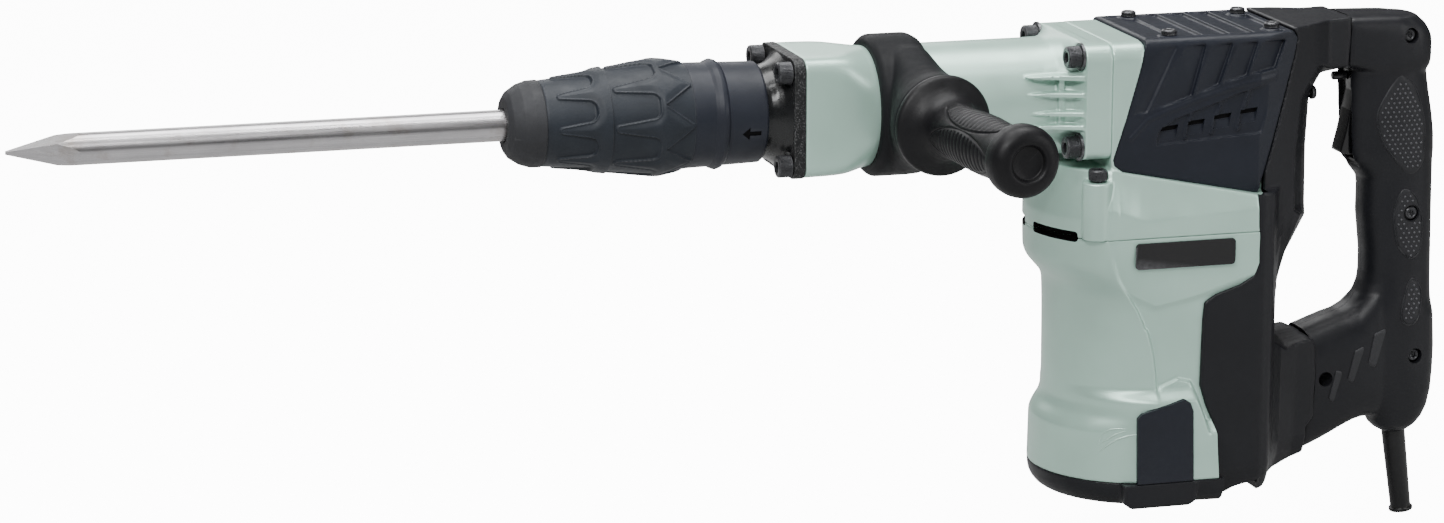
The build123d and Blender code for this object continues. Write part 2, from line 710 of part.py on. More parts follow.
# Motor housing: bowed front that draws in to a tube and flares to the base.
housing_sections = [                # (z, front x, shoulder x, half width, rear x)
    (seam_z, lower_front_x, lower_shoulder_x, lower_half, case_rear_x),
    (-100, 316.8, 351.5, 55, case_rear_x),
    (-106, 322, 355, 55, case_rear_x),
    (-112, 328, 358.5, 55, case_rear_x),
    (-128, 328.6, 367.5, 55, case_rear_x),
    (-145, 329, 373, 55, case_rear_x),
    (-165, 329, 375.5, 55, case_rear_x),
    (-177, 328.6, 376, 55.4, case_rear_x),
    (-190, 322.6, 375, 61, 440),
    (-222.9, 322, 374, 62, 440),
]
panel_recess = [(363.7, -224), (362.7, -182.5), (365.8, -179.7), (392.5, -172.6),
                (396.3, -175.3), (398.3, -180.3), (399.5, -224)]
with BuildPart() as motor_housing:
    for upper, lower in zip(housing_sections, housing_sections[1:]):
        with BuildSketch(Plane.XY.offset(upper[0])):
            housing_section(*upper[1:])
        with BuildSketch(Plane.XY.offset(lower[0])):
            housing_section(*lower[1:])
        loft(ruled=True)
    # recess for the rear cover on both flanks
    for side in (1, -1):
        with BuildSketch(flank(side, inset_half)):
            outline(rear_front_edge + [(415.4, -230), (480, -230), (480, -54.2)])
        extrude(amount=side * 20, mode=Mode.SUBTRACT)
    # recess for the side panels
    for side in (1, -1):
        with BuildSketch(flank(side, 59.2)):
            outline(panel_recess)
        extrude(amount=side * 10, mode=Mode.SUBTRACT)
    # motor bore and fan chamber
    with BuildSketch(crank_plane(-230)):
        Circle(motor_bore_r)
    extrude(amount=160, mode=Mode.SUBTRACT)
    # screw holes
    with BuildSketch(Plane.XY.offset(case_screw_bottom_z)):
        with Locations(*case_screw_spots):
            Circle(case_screw_hole_r)
    extrude(amount=30, mode=Mode.SUBTRACT)
    # lower half of the air slot
    with BuildSketch(Plane.XY.offset(seam_z)):
        with Locations((326, 30), (326, -30)):
            Rectangle(42, 30)
    extrude(amount=-3, mode=Mode.SUBTRACT)

# Base cap with the lower bearing seat, four spokes inside and a flat back.
base_profile = [                    # (radius about the motor axis, z)
    (0, -239), (55, -239), (61, -233), (base_r, -231), (base_r, base_top_z),
    (50, base_top_z), (50, -234), (14, -234), (14, -214), (motor_bearing_r, -214),
    (motor_bearing_r, -223), (0, -223),
]
with BuildPart() as base_cap:
    with BuildSketch(Plane.XZ):
        outline([(crank_x + radius, z) for radius, z in base_profile])
    revolve(axis=Axis((crank_x, 0, 0), (0, 0, 1)))
    with BuildSketch(crank_plane(-234.5)):
        for k in range(4):
            with Locations(Location((0, 0), 45 + 90 * k)):
                with Locations((31, 0)):
                    Rectangle(36, 4)
    extrude(amount=16)
    with Locations((crank_x + 60, 0, -228)):
        Box(50, 200, 30, mode=Mode.SUBTRACT)

panel_side = [(364, -222.8), (363.1, -182.7), (366, -180.1), (392.4, -173.1),
              (396, -175.6), (397.9, -180.5), (399.1, -222.8)]
with BuildPart() as side_panels:
    for side in (1, -1):
        with BuildSketch(flank(side, 59.25)):
            outline(panel_side)
        extrude(amount=side * 3.2)

# Badge plate on the left flank.
with BuildPart() as badge_plate:
    with BuildSketch(flank(1, lower_half)):
        with Locations((393.2, -87.2)):
            RectangleRounded(62, 15.6, 2.4)
    extrude(amount=1.0)

# ============================================================ saddle cover
saddle_half = 45
saddle_plan = [                     # (x, y)
    (340, -45), (372, -45), (442, -45), (470, -37),
    (470, 37), (442, 45), (372, 45), (340, 45),
]
saddle_ribs = [                     # (x on the roof, half length, foot x, foot z)
    (391, 26, 372.7, -5.6), (408.4, 36, 400.4, 3),
    (425.2, 35, 417, 9.2), (440.8, 33, 434.3, 14.2),
]
rib_half, rib_top_z = 2, 33         # half width, top of the flank ribs
air_windows = [(384, -17.5), (400.5, -15), (417, -12), (433.5, -9)]
with BuildPart() as upper_cover:
    with BuildSketch(Plane.XZ):
        outline(cover_side)
    extrude(amount=saddle_half, both=True)
    with BuildSketch(Plane.XY.offset(-60)):
        outline(saddle_plan)
    extrude(amount=110, mode=Mode.INTERSECT)
    chamfer(upper_cover.edges().filter_by(Axis.X).group_by(Axis.Z)[-1], 5)
    # room for the crank case
    with Locations((390, 0, -12)):
        Box(112.4, 82.1, 92.2, mode=Mode.SUBTRACT)
    with Locations((440, 0, -20)):
        Box(44, 76, 100, mode=Mode.SUBTRACT)
    for x, half_len, _, _ in saddle_ribs:
        with Locations((x, 0, 38.6)):
            Box(2 * rib_half, 2 * half_len, 1.6)
    for side in (1, -1):
        for top_x, _, foot_x, foot_z in saddle_ribs:
            with BuildSketch(flank(side, saddle_half - 0.5)):
                outline([
                    (top_x - rib_half, rib_top_z), (top_x + rib_half, rib_top_z),
                    (foot_x + rib_half, foot_z), (foot_x - rib_half, foot_z),
                ])
            extrude(amount=side * 1.4)
        for x, z in air_windows:
            with BuildSketch(flank(side, 40)):
                with Locations((x, z)):
                    Rectangle(11.5, 9, rotation=10)
            extrude(amount=side * 8, mode=Mode.SUBTRACT)

# Cross-slotted screw heads on the roof.
cover_screw_spots = [(388.7, 32.5), (388.7, -32.5), (455.5, 26), (455.5, -26)]   # (x, y)
with BuildPart() as cover_screws:
    with BuildSketch(Plane.XY.offset(38.35)):
        with Locations(*cover_screw_spots):
            Circle(4.6)
    extrude(amount=3.4)
    chamfer(cover_screws.edges().group_by(Axis.Z)[-1], 1.0)
    with BuildSketch(Plane.XY.offset(39.6)):
        with Locations(*cover_screw_spots):
            Rectangle(5.4, 1.2)
            Rectangle(1.2, 5.4)
    extrude(amount=4, mode=Mode.SUBTRACT)

# ============================================================== rear cover
# The cover is made in two bands that meet at split_z. Each is a side outline
# crossed with a plan, and so is the room hollowed out of each.
split_z = -56


def mirrored_plan(right_edge):
    """Plan outline (x, y) from its right-hand edge, listed rear to front."""
    return [(x, -y) for x, y in reversed(right_edge)] + right_edge


rear_side = [
    (464.3, 38.2), (467.7, 33.6), (466.1, 24.8), (458.7, -1.5), (450.2, -30.8),
    (442.2, -54.4), *rear_front_edge[1:], (417.8, -234.6), (430, -237), (452, -236),
    (486.4, -226.5), (486.6, -216.7), (486.5, -206.8), (491.3, -201.5), (492.4, -174.9),
    (491.1, -156.3), (486.8, -148.9), (474.7, -150.5), (467.3, -143.8), (466.4, -132.6),
    (470.4, -117.4), (490.6, -80), (490.9, -70.2), (490.4, -35.9), (491.3, -5.6),
    (496.2, 2.6), (507.1, 6.8), (507.6, 13), (508.4, 24.4), (509.4, 38.2),
]
low_plan = mirrored_plan([
    (512, 21), (495, 22), (478, 23.5), (467, 27), (458, 37), (451, 51),
    (448, cover_half), (400, cover_half),
])
high_plan = mirrored_plan([
    (512, 21), (494, 22), (484, 29), (468, 36.5), (443, 46), (400, cover_half),
])
low_room_side = [
    (400, 30), (400, -231), (428, -233), (452, -232), (482, -223), (487, -190),
    (487, -160), (483, -153.5), (472.5, -153.5), (463.5, -145.5), (462.4, -131.6),
    (466.6, -115.6), (486.6, -79), (486.9, -5), (492, 10), (503, 14), (504, 30),
]
low_room_plan = mirrored_plan([
    (506, 18), (478, 20), (464, 24.5), (455, 35.5), (448.5, 48.5),
    (447, inset_half + 0.1), (400, inset_half + 0.1),
])
high_room_side = [(400, 30), (400, -57), (486.6, -57), (486.9, -5), (492, 10), (503, 14),
                  (504, 34), (472, 34)]
high_room_plan = mirrored_plan([
    (506, 17.5), (493, 18), (483, 25), (466, 32), (443, 41), (400, 41),
])


def crossed(side_outline, plan, bottom_z, top_z):
    """Side outline cut to a plan between two heights."""
    with BuildPart() as block:
        with BuildSketch(Plane.XZ):
            outline(side_outline)
        extrude(amount=60, both=True)
        with BuildSketch(Plane.XY.offset(bottom_z)):
            outline(plan)
        extrude(amount=top_z - bottom_z, mode=Mode.INTERSECT)
    return block.part


with BuildPart() as rear_cover:
    add(crossed(rear_side, low_plan, -250, split_z))
    add(crossed(rear_side, high_plan, split_z, 94))
    add(crossed(low_room_side, low_room_plan, -250, split_z - 4), mode=Mode.SUBTRACT)
    add(crossed(high_room_side, high_room_plan, split_z, 64), mode=Mode.SUBTRACT)
    # clearance to the case, housing and base
    with Locations((424, 0, -100)):
        Box(44.4, 2 * inset_half + 0.2, 280, mode=Mode.SUBTRACT)
    with BuildSketch(crank_plane(-245)):
        Circle(base_r + 0.1)
    extrude(amount=22.2, mode=Mode.SUBTRACT)

rear_screw_r, rear_screw_height = 4.2, 3.2
with BuildPart() as rear_cover_screws:
    with BuildSketch(Plane.YZ.offset(491.35)):
        with Locations((12, -10), (-12, -10)):
            Circle(rear_screw_r)
    extrude(amount=rear_screw_height)
    chamfer(rear_cover_screws.edges().group_by(Axis.X)[-1], 0.9)
    with BuildSketch(Plane.YZ.offset(468)):
        with Locations((15, -131), (-15, -131)):
            Circle(rear_screw_r)
    extrude(amount=rear_screw_height)

# ================================================================== handle
handle_half = 21.0
handle_side = [
    (509.8, 38.4), (507.9, 13), (508.4, 8), (514, 7), (513.2, -20), (513.5, -40),
    (516.8, -50.9), (524.9, -59.3), (524.4, -82), (527.2, -105.6), (527.2, -124.2),
    (523, -135.1), (511.5, -140.6), (488.3, -148.9), (491.5, -156.3), (492.8, -174.9),
    (491.7, -201.5), (486.9, -206.8), (486.9, -226), (499.9, -222.9), (530.9, -207.6),
    (539.1, -215.2), (562.4, -216.9), (573.9, -206.4), (576, -191.4), (576.9, -165),
    (573.4, -127.2), (571.6, -34.4), (566, 7.5), (566.9, 17.2), (565, 31.8), (556, 38.4),
]
handle_plan = mirrored_plan([
    (578, 5), (568, 13.5), (556, 18.4), (540, 18.6), (524, 17), (517, 21), (480, 21),
])
handle_screw_spots = [              # (x, z, distance of the left face from the joint)
    (548.3, 27.6, 18.6), (553.5, -80.9, 18.6), (558.7, -169.2, 17.5),
]
screw_recess = 5                    # depth below the left face
# The cord leaves the bottom of the handle, leaning slightly rearwards.
cord_plane = Plane(origin=(554.1, 0, -217.6), x_dir=(0, 1, 0), z_dir=(7.4, 0, -53.3))
with BuildPart() as handle_shape:
    with BuildSketch(Plane.XZ):
        outline(handle_side)
    extrude(amount=handle_half, both=True)
    with BuildSketch(Plane.XY.offset(-240)):
        outline(handle_plan)
    extrude(amount=300, mode=Mode.INTERSECT)
    # room for the switch, the trigger and the cable
    with Locations((548, 0, -70)):
        Box(22, 22, 180, mode=Mode.SUBTRACT)
    with Locations((528, 0, -20.5)):
        Box(36, 15.4, 57, mode=Mode.SUBTRACT)
    # cross hole through the lower front
    with BuildSketch(Plane.XZ):
        with Locations((499.4, -178.9)):
            Circle(4.5)
    extrude(amount=40, both=True, mode=Mode.SUBTRACT)
    # screw recesses and screw holes
    for x, z, face_y in handle_screw_spots:
        with BuildSketch(flank(1, face_y - screw_recess)):
            with Locations((x, z)):
                Circle(4.6)
        extrude(amount=12, mode=Mode.SUBTRACT)
        with BuildSketch(flank(-1, 12)):
            with Locations((x, z)):
                Circle(2.1)
        extrude(amount=30, mode=Mode.SUBTRACT)
    # cord outlet, cut outwards and then inwards
    for depth in (8, -62):
        with BuildSketch(cord_plane):
            Circle(7.4)
        extrude(amount=depth, mode=Mode.SUBTRACT)

# The two halves meet at y = 0.
with BuildPart() as handle_left:
    add(handle_shape.part)
    with Locations((530, 50.0, -90)):
        Box(200, 100, 400, mode=Mode.SUBTRACT)
with BuildPart() as handle_right:
    add(handle_shape.part)
    with Locations((530, -50.0, -90)):
        Box(200, 100, 400, mode=Mode.SUBTRACT)

with BuildPart() as handle_screws:
    for x, z, face_y in handle_screw_spots:
        with BuildSketch(flank(1, face_y - screw_recess)):
            with Locations((x, z)):
                Circle(4.0)
        extrude(amount=3)
        with BuildSketch(flank(1, face_y - 2.8)):
            with Locations((x, z)):
                RegularPolygon(1.8, 6)
        extrude(amount=2, mode=Mode.SUBTRACT)
        with BuildSketch(flank(-1, 11)):
            with Locations((x, z)):
                Circle(2.0)
        extrude(amount=11 + face_y - screw_recess)

# Trigger: a lever hinged at its top on a stub pin, bored for the lock button.
pivot = (522.0, 3.0)                # (x, z)
trigger_half = 7.2
button_z, button_r = 2.4, 2.7
with BuildPart() as trigger:
    with BuildSketch(Plane.XZ):
        outline([(511.2, 6.8), (525, 6.8), (527, 0), (527, -25), (520, -46), (505.2, -44),
                 (508, -24)])
    extrude(amount=trigger_half, both=True)
    with BuildSketch(Plane.XZ):
        with Locations(pivot):
            Circle(2.0)
    extrude(amount=7.6, both=True, mode=Mode.SUBTRACT)
    with BuildSketch(Plane.YZ.offset(500)):
        with Locations((0, button_z)):
            Circle(button_r + 0.05)
    extrude(amount=17, mode=Mode.SUBTRACT)
with BuildPart() as trigger_pin:
    with BuildSketch(Plane.XZ):
        with Locations(pivot):
            Circle(1.95)
    extrude(amount=7.6, both=True)
with BuildPart() as lock_button:
    with BuildSketch(Plane.YZ.offset(503.8)):
        with Locations((0, button_z)):
            Circle(button_r)
    extrude(amount=9.8)
    chamfer(lock_button.edges().group_by(Axis.X)[0], 0.5)

# Switch body with its plunger in front.
with BuildPart() as trigger_switch:
    with Locations((549, 0, -20)):
        Box(18, 16, 42)
    with Locations((539, 0, -28)):
        Box(3, 8, 8)

# Cord guard: tapered sleeve with a bead at its outer end.
with BuildPart() as cord_guard:
    with BuildSketch(cord_plane.offset(-9)):
        Circle(7.35)
    with BuildSketch(cord_plane.offset(51.6)):
        Circle(6.2)
    loft()
    with BuildSketch(cord_plane.offset(51.4)):
        Circle(7.3)
    extrude(amount=2.2)
    with BuildSketch(cord_plane.offset(-10)):
        Circle(3.75)
    extrude(amount=80, mode=Mode.SUBTRACT)
with BuildPart() as power_cable:
    with BuildSketch(cord_plane.offset(-56)):
        Circle(3.7)
    extrude(amount=110.5)

# ============================================================= side handle
# It points left from the barrel and leans slightly rearwards.
side_x, side_tilt = 232.0, radians(5.5)
side_dir = (sin(side_tilt), -cos(side_tilt), 0)
side_x_dir = (cos(side_tilt), sin(side_tilt), 0)
side_plane = Plane(origin=(side_x, 0, 0), x_dir=side_x_dir, z_dir=side_dir)
with BuildPart() as clamp_band:
    with BuildSketch(Plane.XZ):
        outline([(213, 30), (213, 38.5), (216.5, 41.7), (240, 41.7), (246, 38.5), (246, 30)])
    revolve(axis=Axis.X)
    # conical boss towards the grip, on a rounded block
    with BuildSketch(side_plane.offset(34)):
        Circle(22)
    with BuildSketch(side_plane.offset(66)):
        Circle(26)
    loft()
    with BuildSketch(side_plane.offset(26)):
        RectangleRounded(33, 44, 6)
    extrude(amount=12)
    # barrel bore and bolt hole
    with BuildSketch(Plane.YZ.offset(200)):
        Circle(barrel_r + 0.05)
    extrude(amount=60, mode=Mode.SUBTRACT)
    with BuildSketch(side_plane.offset(35.5)):
        Circle(4.3)
    extrude(amount=40, mode=Mode.SUBTRACT)

with BuildPart() as clamp_bolt:
    with BuildSketch(side_plane.offset(36)):
        Circle(bolt_r)
    extrude(amount=90)

side_grip_profile = [               # (radius, minus the distance along the handle)
    (0, -66.1), (27.5, -66.1), (29, -67.6), (29, -71), (27, -73.5), (21, -75.5),
    (17, -79), (15.8, -84), (15.6, -100), (16.4, -120), (16.6, -135), (15.8, -150),
    (15.4, -160), (16.2, -165), (19, -169.5), (19.6, -175), (18.6, -180.5),
    (15.5, -183.6), (10.4, -184), (9.6, -181.5), (0, -181.5),
]
with BuildPart() as side_grip:
    with BuildSketch(Plane(origin=(side_x, 0, 0), x_dir=side_x_dir, z_dir=(0, 0, 1))):
        with BuildLine():
            Polyline(*side_grip_profile, close=True)
        make_face()
    revolve(axis=Axis((side_x, 0, 0), side_dir))
    with BuildSketch(side_plane.offset(66)):
        Circle(bolt_r + 0.05)
    extrude(amount=62, mode=Mode.SUBTRACT)

# ------------------------------------------------------------------ export
nodes = {
    "bull_point": bull_point, "front_cap": front_cap, "chuck_grip": chuck_grip,
    "operating_sleeve": operating_sleeve, "retainer_ring": retainer_ring,
    "chuck_spring": chuck_spring, "locking_ball_upper": locking_ball_upper,
    "locking_ball_lower": locking_ball_lower, "tool_holder": tool_holder,
    "front_cover": front_cover, "front_cover_bolts": front_cover_bolts,
    "damper_ring": damper_ring, "impact_bolt": impact_bolt, "striker": striker,
    "striker_o_ring": striker_o_ring, "cylinder_liner": cylinder_liner,
    "cylinder_case": cylinder_case, "cylinder_case_bolts": cylinder_case_bolts,
    "piston": piston, "wrist_pin": wrist_pin, "connecting_rod": connecting_rod,
    "crank_pin": crank_pin, "crankshaft": crankshaft, "crank_bearings": crank_bearings,
    "crank_gear": crank_gear, "intermediate_gear": intermediate_gear,
    "intermediate_bearings": intermediate_bearings, "crank_case": crank_case,
    "crank_case_screws": crank_case_screws, "gear_plate": gear_plate,
    "armature_shaft": armature_shaft, "armature_core": armature_core,
    "armature_windings": armature_windings, "commutator": commutator,
    "cooling_fan": cooling_fan, "motor_bearings": motor_bearings,
    "stator_core": stator_core, "field_coils": field_coils,
    "brush_holders": brush_holders, "carbon_brushes": carbon_brushes,
    "motor_housing": motor_housing, "base_cap": base_cap, "side_panels": side_panels,
    "badge_plate": badge_plate, "upper_cover": upper_cover, "cover_screws": cover_screws,
    "rear_cover": rear_cover, "rear_cover_screws": rear_cover_screws,
    "handle_left": handle_left, "handle_right": handle_right,
    "handle_screws": handle_screws, "trigger": trigger, "trigger_pin": trigger_pin,
    "lock_button": lock_button, "trigger_switch": trigger_switch,
    "cord_guard": cord_guard, "power_cable": power_cable, "clamp_band": clamp_band,
    "clamp_bolt": clamp_bolt, "side_grip": side_grip,
}
for node_name, built in nodes.items():
    built.part.label = node_name
    export_step(built.part, f"parts/{node_name}.step")
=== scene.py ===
# Electric hammer with a chuck, a side grip, a motor below and a D-shaped rear handle.
# The striking axis is x (y = z = 0): the chuck mouth lies at x = 0, the rear handle at +x.
# z is up and -y is the tool's left. Shape sizes are in millimetres, scene sizes in metres.
import json
import math

import bmesh
import bpy
import numpy as np
from mathutils import Matrix, Vector
from mathutils.bvhtree import BVHTree


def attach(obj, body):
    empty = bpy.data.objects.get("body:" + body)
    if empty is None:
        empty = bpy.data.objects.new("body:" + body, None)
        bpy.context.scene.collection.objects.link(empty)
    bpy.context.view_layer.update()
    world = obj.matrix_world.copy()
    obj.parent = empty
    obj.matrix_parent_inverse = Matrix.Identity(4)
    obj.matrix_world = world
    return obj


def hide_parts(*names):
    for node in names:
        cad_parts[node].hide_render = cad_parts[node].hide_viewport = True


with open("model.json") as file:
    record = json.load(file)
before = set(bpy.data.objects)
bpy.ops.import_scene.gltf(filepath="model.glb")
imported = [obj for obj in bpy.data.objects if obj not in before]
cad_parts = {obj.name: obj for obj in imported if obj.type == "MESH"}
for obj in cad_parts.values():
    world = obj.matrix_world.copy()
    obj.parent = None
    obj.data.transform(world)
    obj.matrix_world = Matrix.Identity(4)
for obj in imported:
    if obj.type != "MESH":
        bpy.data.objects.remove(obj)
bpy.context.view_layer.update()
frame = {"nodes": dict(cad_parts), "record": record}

MM = 0.001
PI = math.pi
SIDES = (1, -1)
FORWARD = (-1, 0, 0)

MOTOR_X = 384        # upright motor axis
CASE_HALF = 55.0     # half width of the crank case and motor housing
FLARE = 6.2          # extra half width round the side panels
CASE_FLOOR = -77.0   # joint between crank case and motor housing
HOUSING_FOOT = -223  # joint between motor housing and foot cap

# Screw places, (y, z) along the striking axis and (x, y) for the upright ones
NOSE_SCREWS = [(y, z) for y in (-28.5, 28.5) for z in (-27.0, 27.0)]
BARREL_SCREWS = [(36.6, 29.0), (-36.6, 29.0), (36.6, -24.0), (-36.6, -24.0)]
CASE_SCREWS = [(341, side * 46.5) for side in SIDES]
ROOF_SCREWS = [(388.7, 32.5), (388.7, -32.5), (455.5, 26), (455.5, -26)]

# Front edge of the rear shell, (x, z) from the top down
REAR_FRONT = [(438.9, -54.4), (440.1, -95.8), (437.2, -103.4), (429.2, -108.3), (413.6, -113.3),
              (406.8, -117.7), (405.8, -128.4), (405, -167.7), (409.1, -180.2), (413.2, -189.6),
              (414.3, -208), (415.4, -223.0)]
# Side outline of the vent cover, (x, z)
COVER_SIDE = [(370.8, 38.3), (365.7, 18.1), (358.3, -7.9), (350.8, -31.1), (351.5, -34.6),
              (356.5, -38.5), (392.7, -45.9), (441.9, -56), (449.9, -30.8), (458.4, -1.5),
              (465.8, 24.8), (467.4, 33.6), (464, 38.3)]


# ------------------------------------------------------------ outlines
def angles(count, shift=0.0):
    return [2 * PI * (k + shift) / count for k in range(count)]


def circle(center, radius, count=48):
    return [(center[0] + radius * math.cos(t), center[1] + radius * math.sin(t))
            for t in angles(count)]


def superellipse(half_u, half_v, power, count=96):
    """Rounded box outline: power 2 is an ellipse, higher powers are squarer."""
    points = []
    for t in angles(count, 0.5):
        c, s = math.cos(t), math.sin(t)
        points.append((half_u * math.copysign(abs(c) ** (2 / power), c),
                       half_v * math.copysign(abs(s) ** (2 / power), s)))
    return points


def fillet(points, radius, steps=5, even=False):
    """Closed polygon with rounded corners. A point's third number is its own radius.

    With even, nearly straight corners get the same number of points as the rest."""
    out = []
    for i, point in enumerate(points):
        r = point[2] if len(point) > 2 else radius
        before, corner, after = (Vector(p[:2]) for p in
                                 (points[i - 1], point, points[(i + 1) % len(points)]))
        u, v = before - corner, after - corner
        length_u, length_v = u.length, v.length
        if r <= 0 or length_u < 1e-6 or length_v < 1e-6:
            out.append((corner.x, corner.y))
            continue
        u, v = u / length_u, v / length_v
        angle = math.acos(max(-1, min(1, u.dot(v))))
        if angle > PI - 0.03 and not even:
            out.append((corner.x, corner.y))
            continue
        reach = min(max(r / math.tan(angle / 2), 0.05), 0.46 * length_u, 0.46 * length_v)
        first, last = corner + u * reach, corner + v * reach
        for k in range(steps + 1):
            s = k / steps
            q = first * (1 - s) ** 2 + corner * (2 * s * (1 - s)) + last * s * s
            out.append((q.x, q.y))
    return out


def smooth(t):
    t = np.clip(t, 0.0, 1.0)
    return t * t * (3 - 2 * t)


def interp(x, table):
    table = table if table[0][0] < table[-1][0] else table[::-1]
    return float(np.interp(x, [p[0] for p in table], [p[1] for p in table]))


# ------------------------------------------------------------ solids
def loft(loops, closed=False):
    """Skin over equal loops of (x, y, z): capped at the ends, or joined last to first."""
    count, rows = len(loops[0]), len(loops)
    faces = []
    for i in range(rows if closed else rows - 1):
        here, there = i * count, (i + 1) % rows * count
        for j in range(count):
            k = (j + 1) % count
            faces.append((here + j, here + k, there + k, there + j))
    if not closed:
        faces.append(tuple(range(count))[::-1])
        faces.append(tuple(range((rows - 1) * count, rows * count)))
    mesh = bpy.data.meshes.new("part")
    mesh.from_pydata([(p[0] * MM, p[1] * MM, p[2] * MM) for loop in loops for p in loop],
                     [], faces)
    mesh.update()
    part = bpy.data.objects.new("part", mesh)
    bpy.context.scene.collection.objects.link(part)
    # clean up and turn the normals outwards
    bm = bmesh.new()
    bm.from_mesh(mesh)
    bmesh.ops.remove_doubles(bm, verts=bm.verts, dist=2e-6)
    bmesh.ops.dissolve_degenerate(bm, edges=bm.edges, dist=1e-6)
    bmesh.ops.recalc_face_normals(bm, faces=bm.faces)
    if bm.calc_volume(signed=True) < 0:
        bmesh.ops.reverse_faces(bm, faces=bm.faces)
    bm.to_mesh(mesh)
    bm.free()
    mesh.update()
    return part


def prism(points, axis, lo, hi):
    """Closed outline swept along an axis: y takes (x, z), z takes (x, y), x takes (y, z)."""
    place = {"x": lambda a, b, h: (h, a, b),
             "y": lambda a, b, h: (a, h, b),
             "z": lambda a, b, h: (a, b, h)}[axis]
    return loft([[place(p[0], p[1], h) for p in points] for h in (lo, hi)])


def side_prism(points, side, near, far):
    """Outline in (x, z) swept between two distances out on one side."""
    return prism(points, "y", *sorted((side * near, side * far)))


def side_block(quad, inner, outer):
    """Six-sided block over a quad in (x, z): inner and outer give y at each corner."""
    return loft([[(p[0], y, p[1]) for p, y in zip(quad, ys)] for ys in (inner, outer)])


def block(x0, x1, y0, y1, z0, z1):
    return prism([(x0, y0), (x1, y0), (x1, y1), (x0, y1)], "z", z0, z1)


def cylinder(axis, center, radius, lo, hi, count=48):
    return prism(circle(center, radius, count), axis, lo, hi)


def cylinders(axis, centers, radius, lo, hi, count=48):
    return [cylinder(axis, center, radius, lo, hi, count) for center in centers]


def axis_ring(x, radii):
    """Ring about the striking axis, with one radius per point."""
    return [(x, -r * math.cos(t), r * math.sin(t)) for r, t in zip(radii, angles(len(radii)))]


def revolve(profile, count=128, closed=True):
    """Profile of (x, radius) turned about the striking axis."""
    return loft([axis_ring(x, [r] * count) for x, r in profile], closed)


def ring(center, across, up, radii):
    """Ring in the plane of across and up, with one radius per point."""
    return [tuple(center + across * (r * math.cos(t)) + up * (r * math.sin(t)))
            for r, t in zip(radii, angles(len(radii)))]


# ------------------------------------------------------------ mesh operations
def bake(part):
    graph = bpy.context.evaluated_depsgraph_get()
    mesh = bpy.data.meshes.new_from_object(part.evaluated_get(graph),
                                           preserve_all_data_layers=True, depsgraph=graph)
    old = part.data
    part.modifiers.clear()
    part.data = mesh
    bpy.data.meshes.remove(old)
    return part


def remove(*parts):
    for part in parts:
        mesh = part.data
        bpy.data.objects.remove(part)
        bpy.data.meshes.remove(mesh)


def boolean(part, operation, *tools):
    """Applies the tools one by one. EXACT steps in where MANIFOLD gives nothing or no change."""
    for tool in tools:
        before = len(part.data.vertices)
        for solver in ("MANIFOLD", "EXACT"):
            modifier = part.modifiers.new("boolean", "BOOLEAN")
            modifier.operation = operation
            modifier.solver = solver
            modifier.object = tool
            graph = bpy.context.evaluated_depsgraph_get()
            count = len(part.evaluated_get(graph).data.vertices)
            if count and (count != before or solver == "EXACT"):
                bake(part)
                break
            part.modifiers.clear()
        remove(tool)
    return part


def cut(part, *tools):
    return boolean(part, "DIFFERENCE", *tools)


def cut_apart(part, *tools):
    """Cuts with tools that don't touch one another, all at once."""
    return boolean(part, "DIFFERENCE", join(list(tools)))


def unite(part, *tools):
    return boolean(part, "UNION", *tools)


def meet(part, *tools):
    return boolean(part, "INTERSECT", *tools)


def join(parts):
    bm = bmesh.new()
    for part in parts:
        bm.from_mesh(part.data)
    bm.to_mesh(parts[0].data)
    bm.free()
    remove(*parts[1:])
    return parts[0]


def remesh(part, voxel, passes, factor=0.5):
    """Rebuilds the solid from voxels and softens its edges."""
    modifier = part.modifiers.new("remesh", "REMESH")
    modifier.mode = "VOXEL"
    modifier.voxel_size = voxel * MM
    modifier.use_smooth_shade = True
    modifier = part.modifiers.new("smooth", "SMOOTH")
    modifier.factor = factor
    modifier.iterations = passes
    return bake(part)


def add_bevel(part, width, angle):
    modifier = part.modifiers.new("bevel", "BEVEL")
    modifier.width = width
    modifier.segments = 3
    modifier.limit_method = "ANGLE"
    modifier.angle_limit = math.radians(angle)
    return modifier


def second_faces(part, test):
    """Gives the faces whose centre (in mm) passes the test the second material."""
    for face in part.data.polygons:
        c = face.center / MM
        if test(c.x, c.y, c.z):
            face.material_index = 1


def piece(part, name, body, slot, mats, *nodes, sharp=38):
    """Names and colours a finished part and parents it to its body. Edges over the sharp angle stay
    crisp.
    """
    part.name = part.data.name = name
    mesh = part.data
    index = np.zeros(len(mesh.polygons), dtype=np.int32)
    mesh.polygons.foreach_get("material_index", index)
    mesh.materials.clear()
    mats = mats if isinstance(mats, tuple) else (mats,)
    for mat in mats:
        mesh.materials.append(mat)
    mesh.polygons.foreach_set("material_index", np.minimum(index, len(mats) - 1))
    mesh.shade_smooth()
    if sharp:
        mesh.set_sharp_from_angle(angle=math.radians(sharp))
    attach(part, body)
    if nodes:
        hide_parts(*nodes)


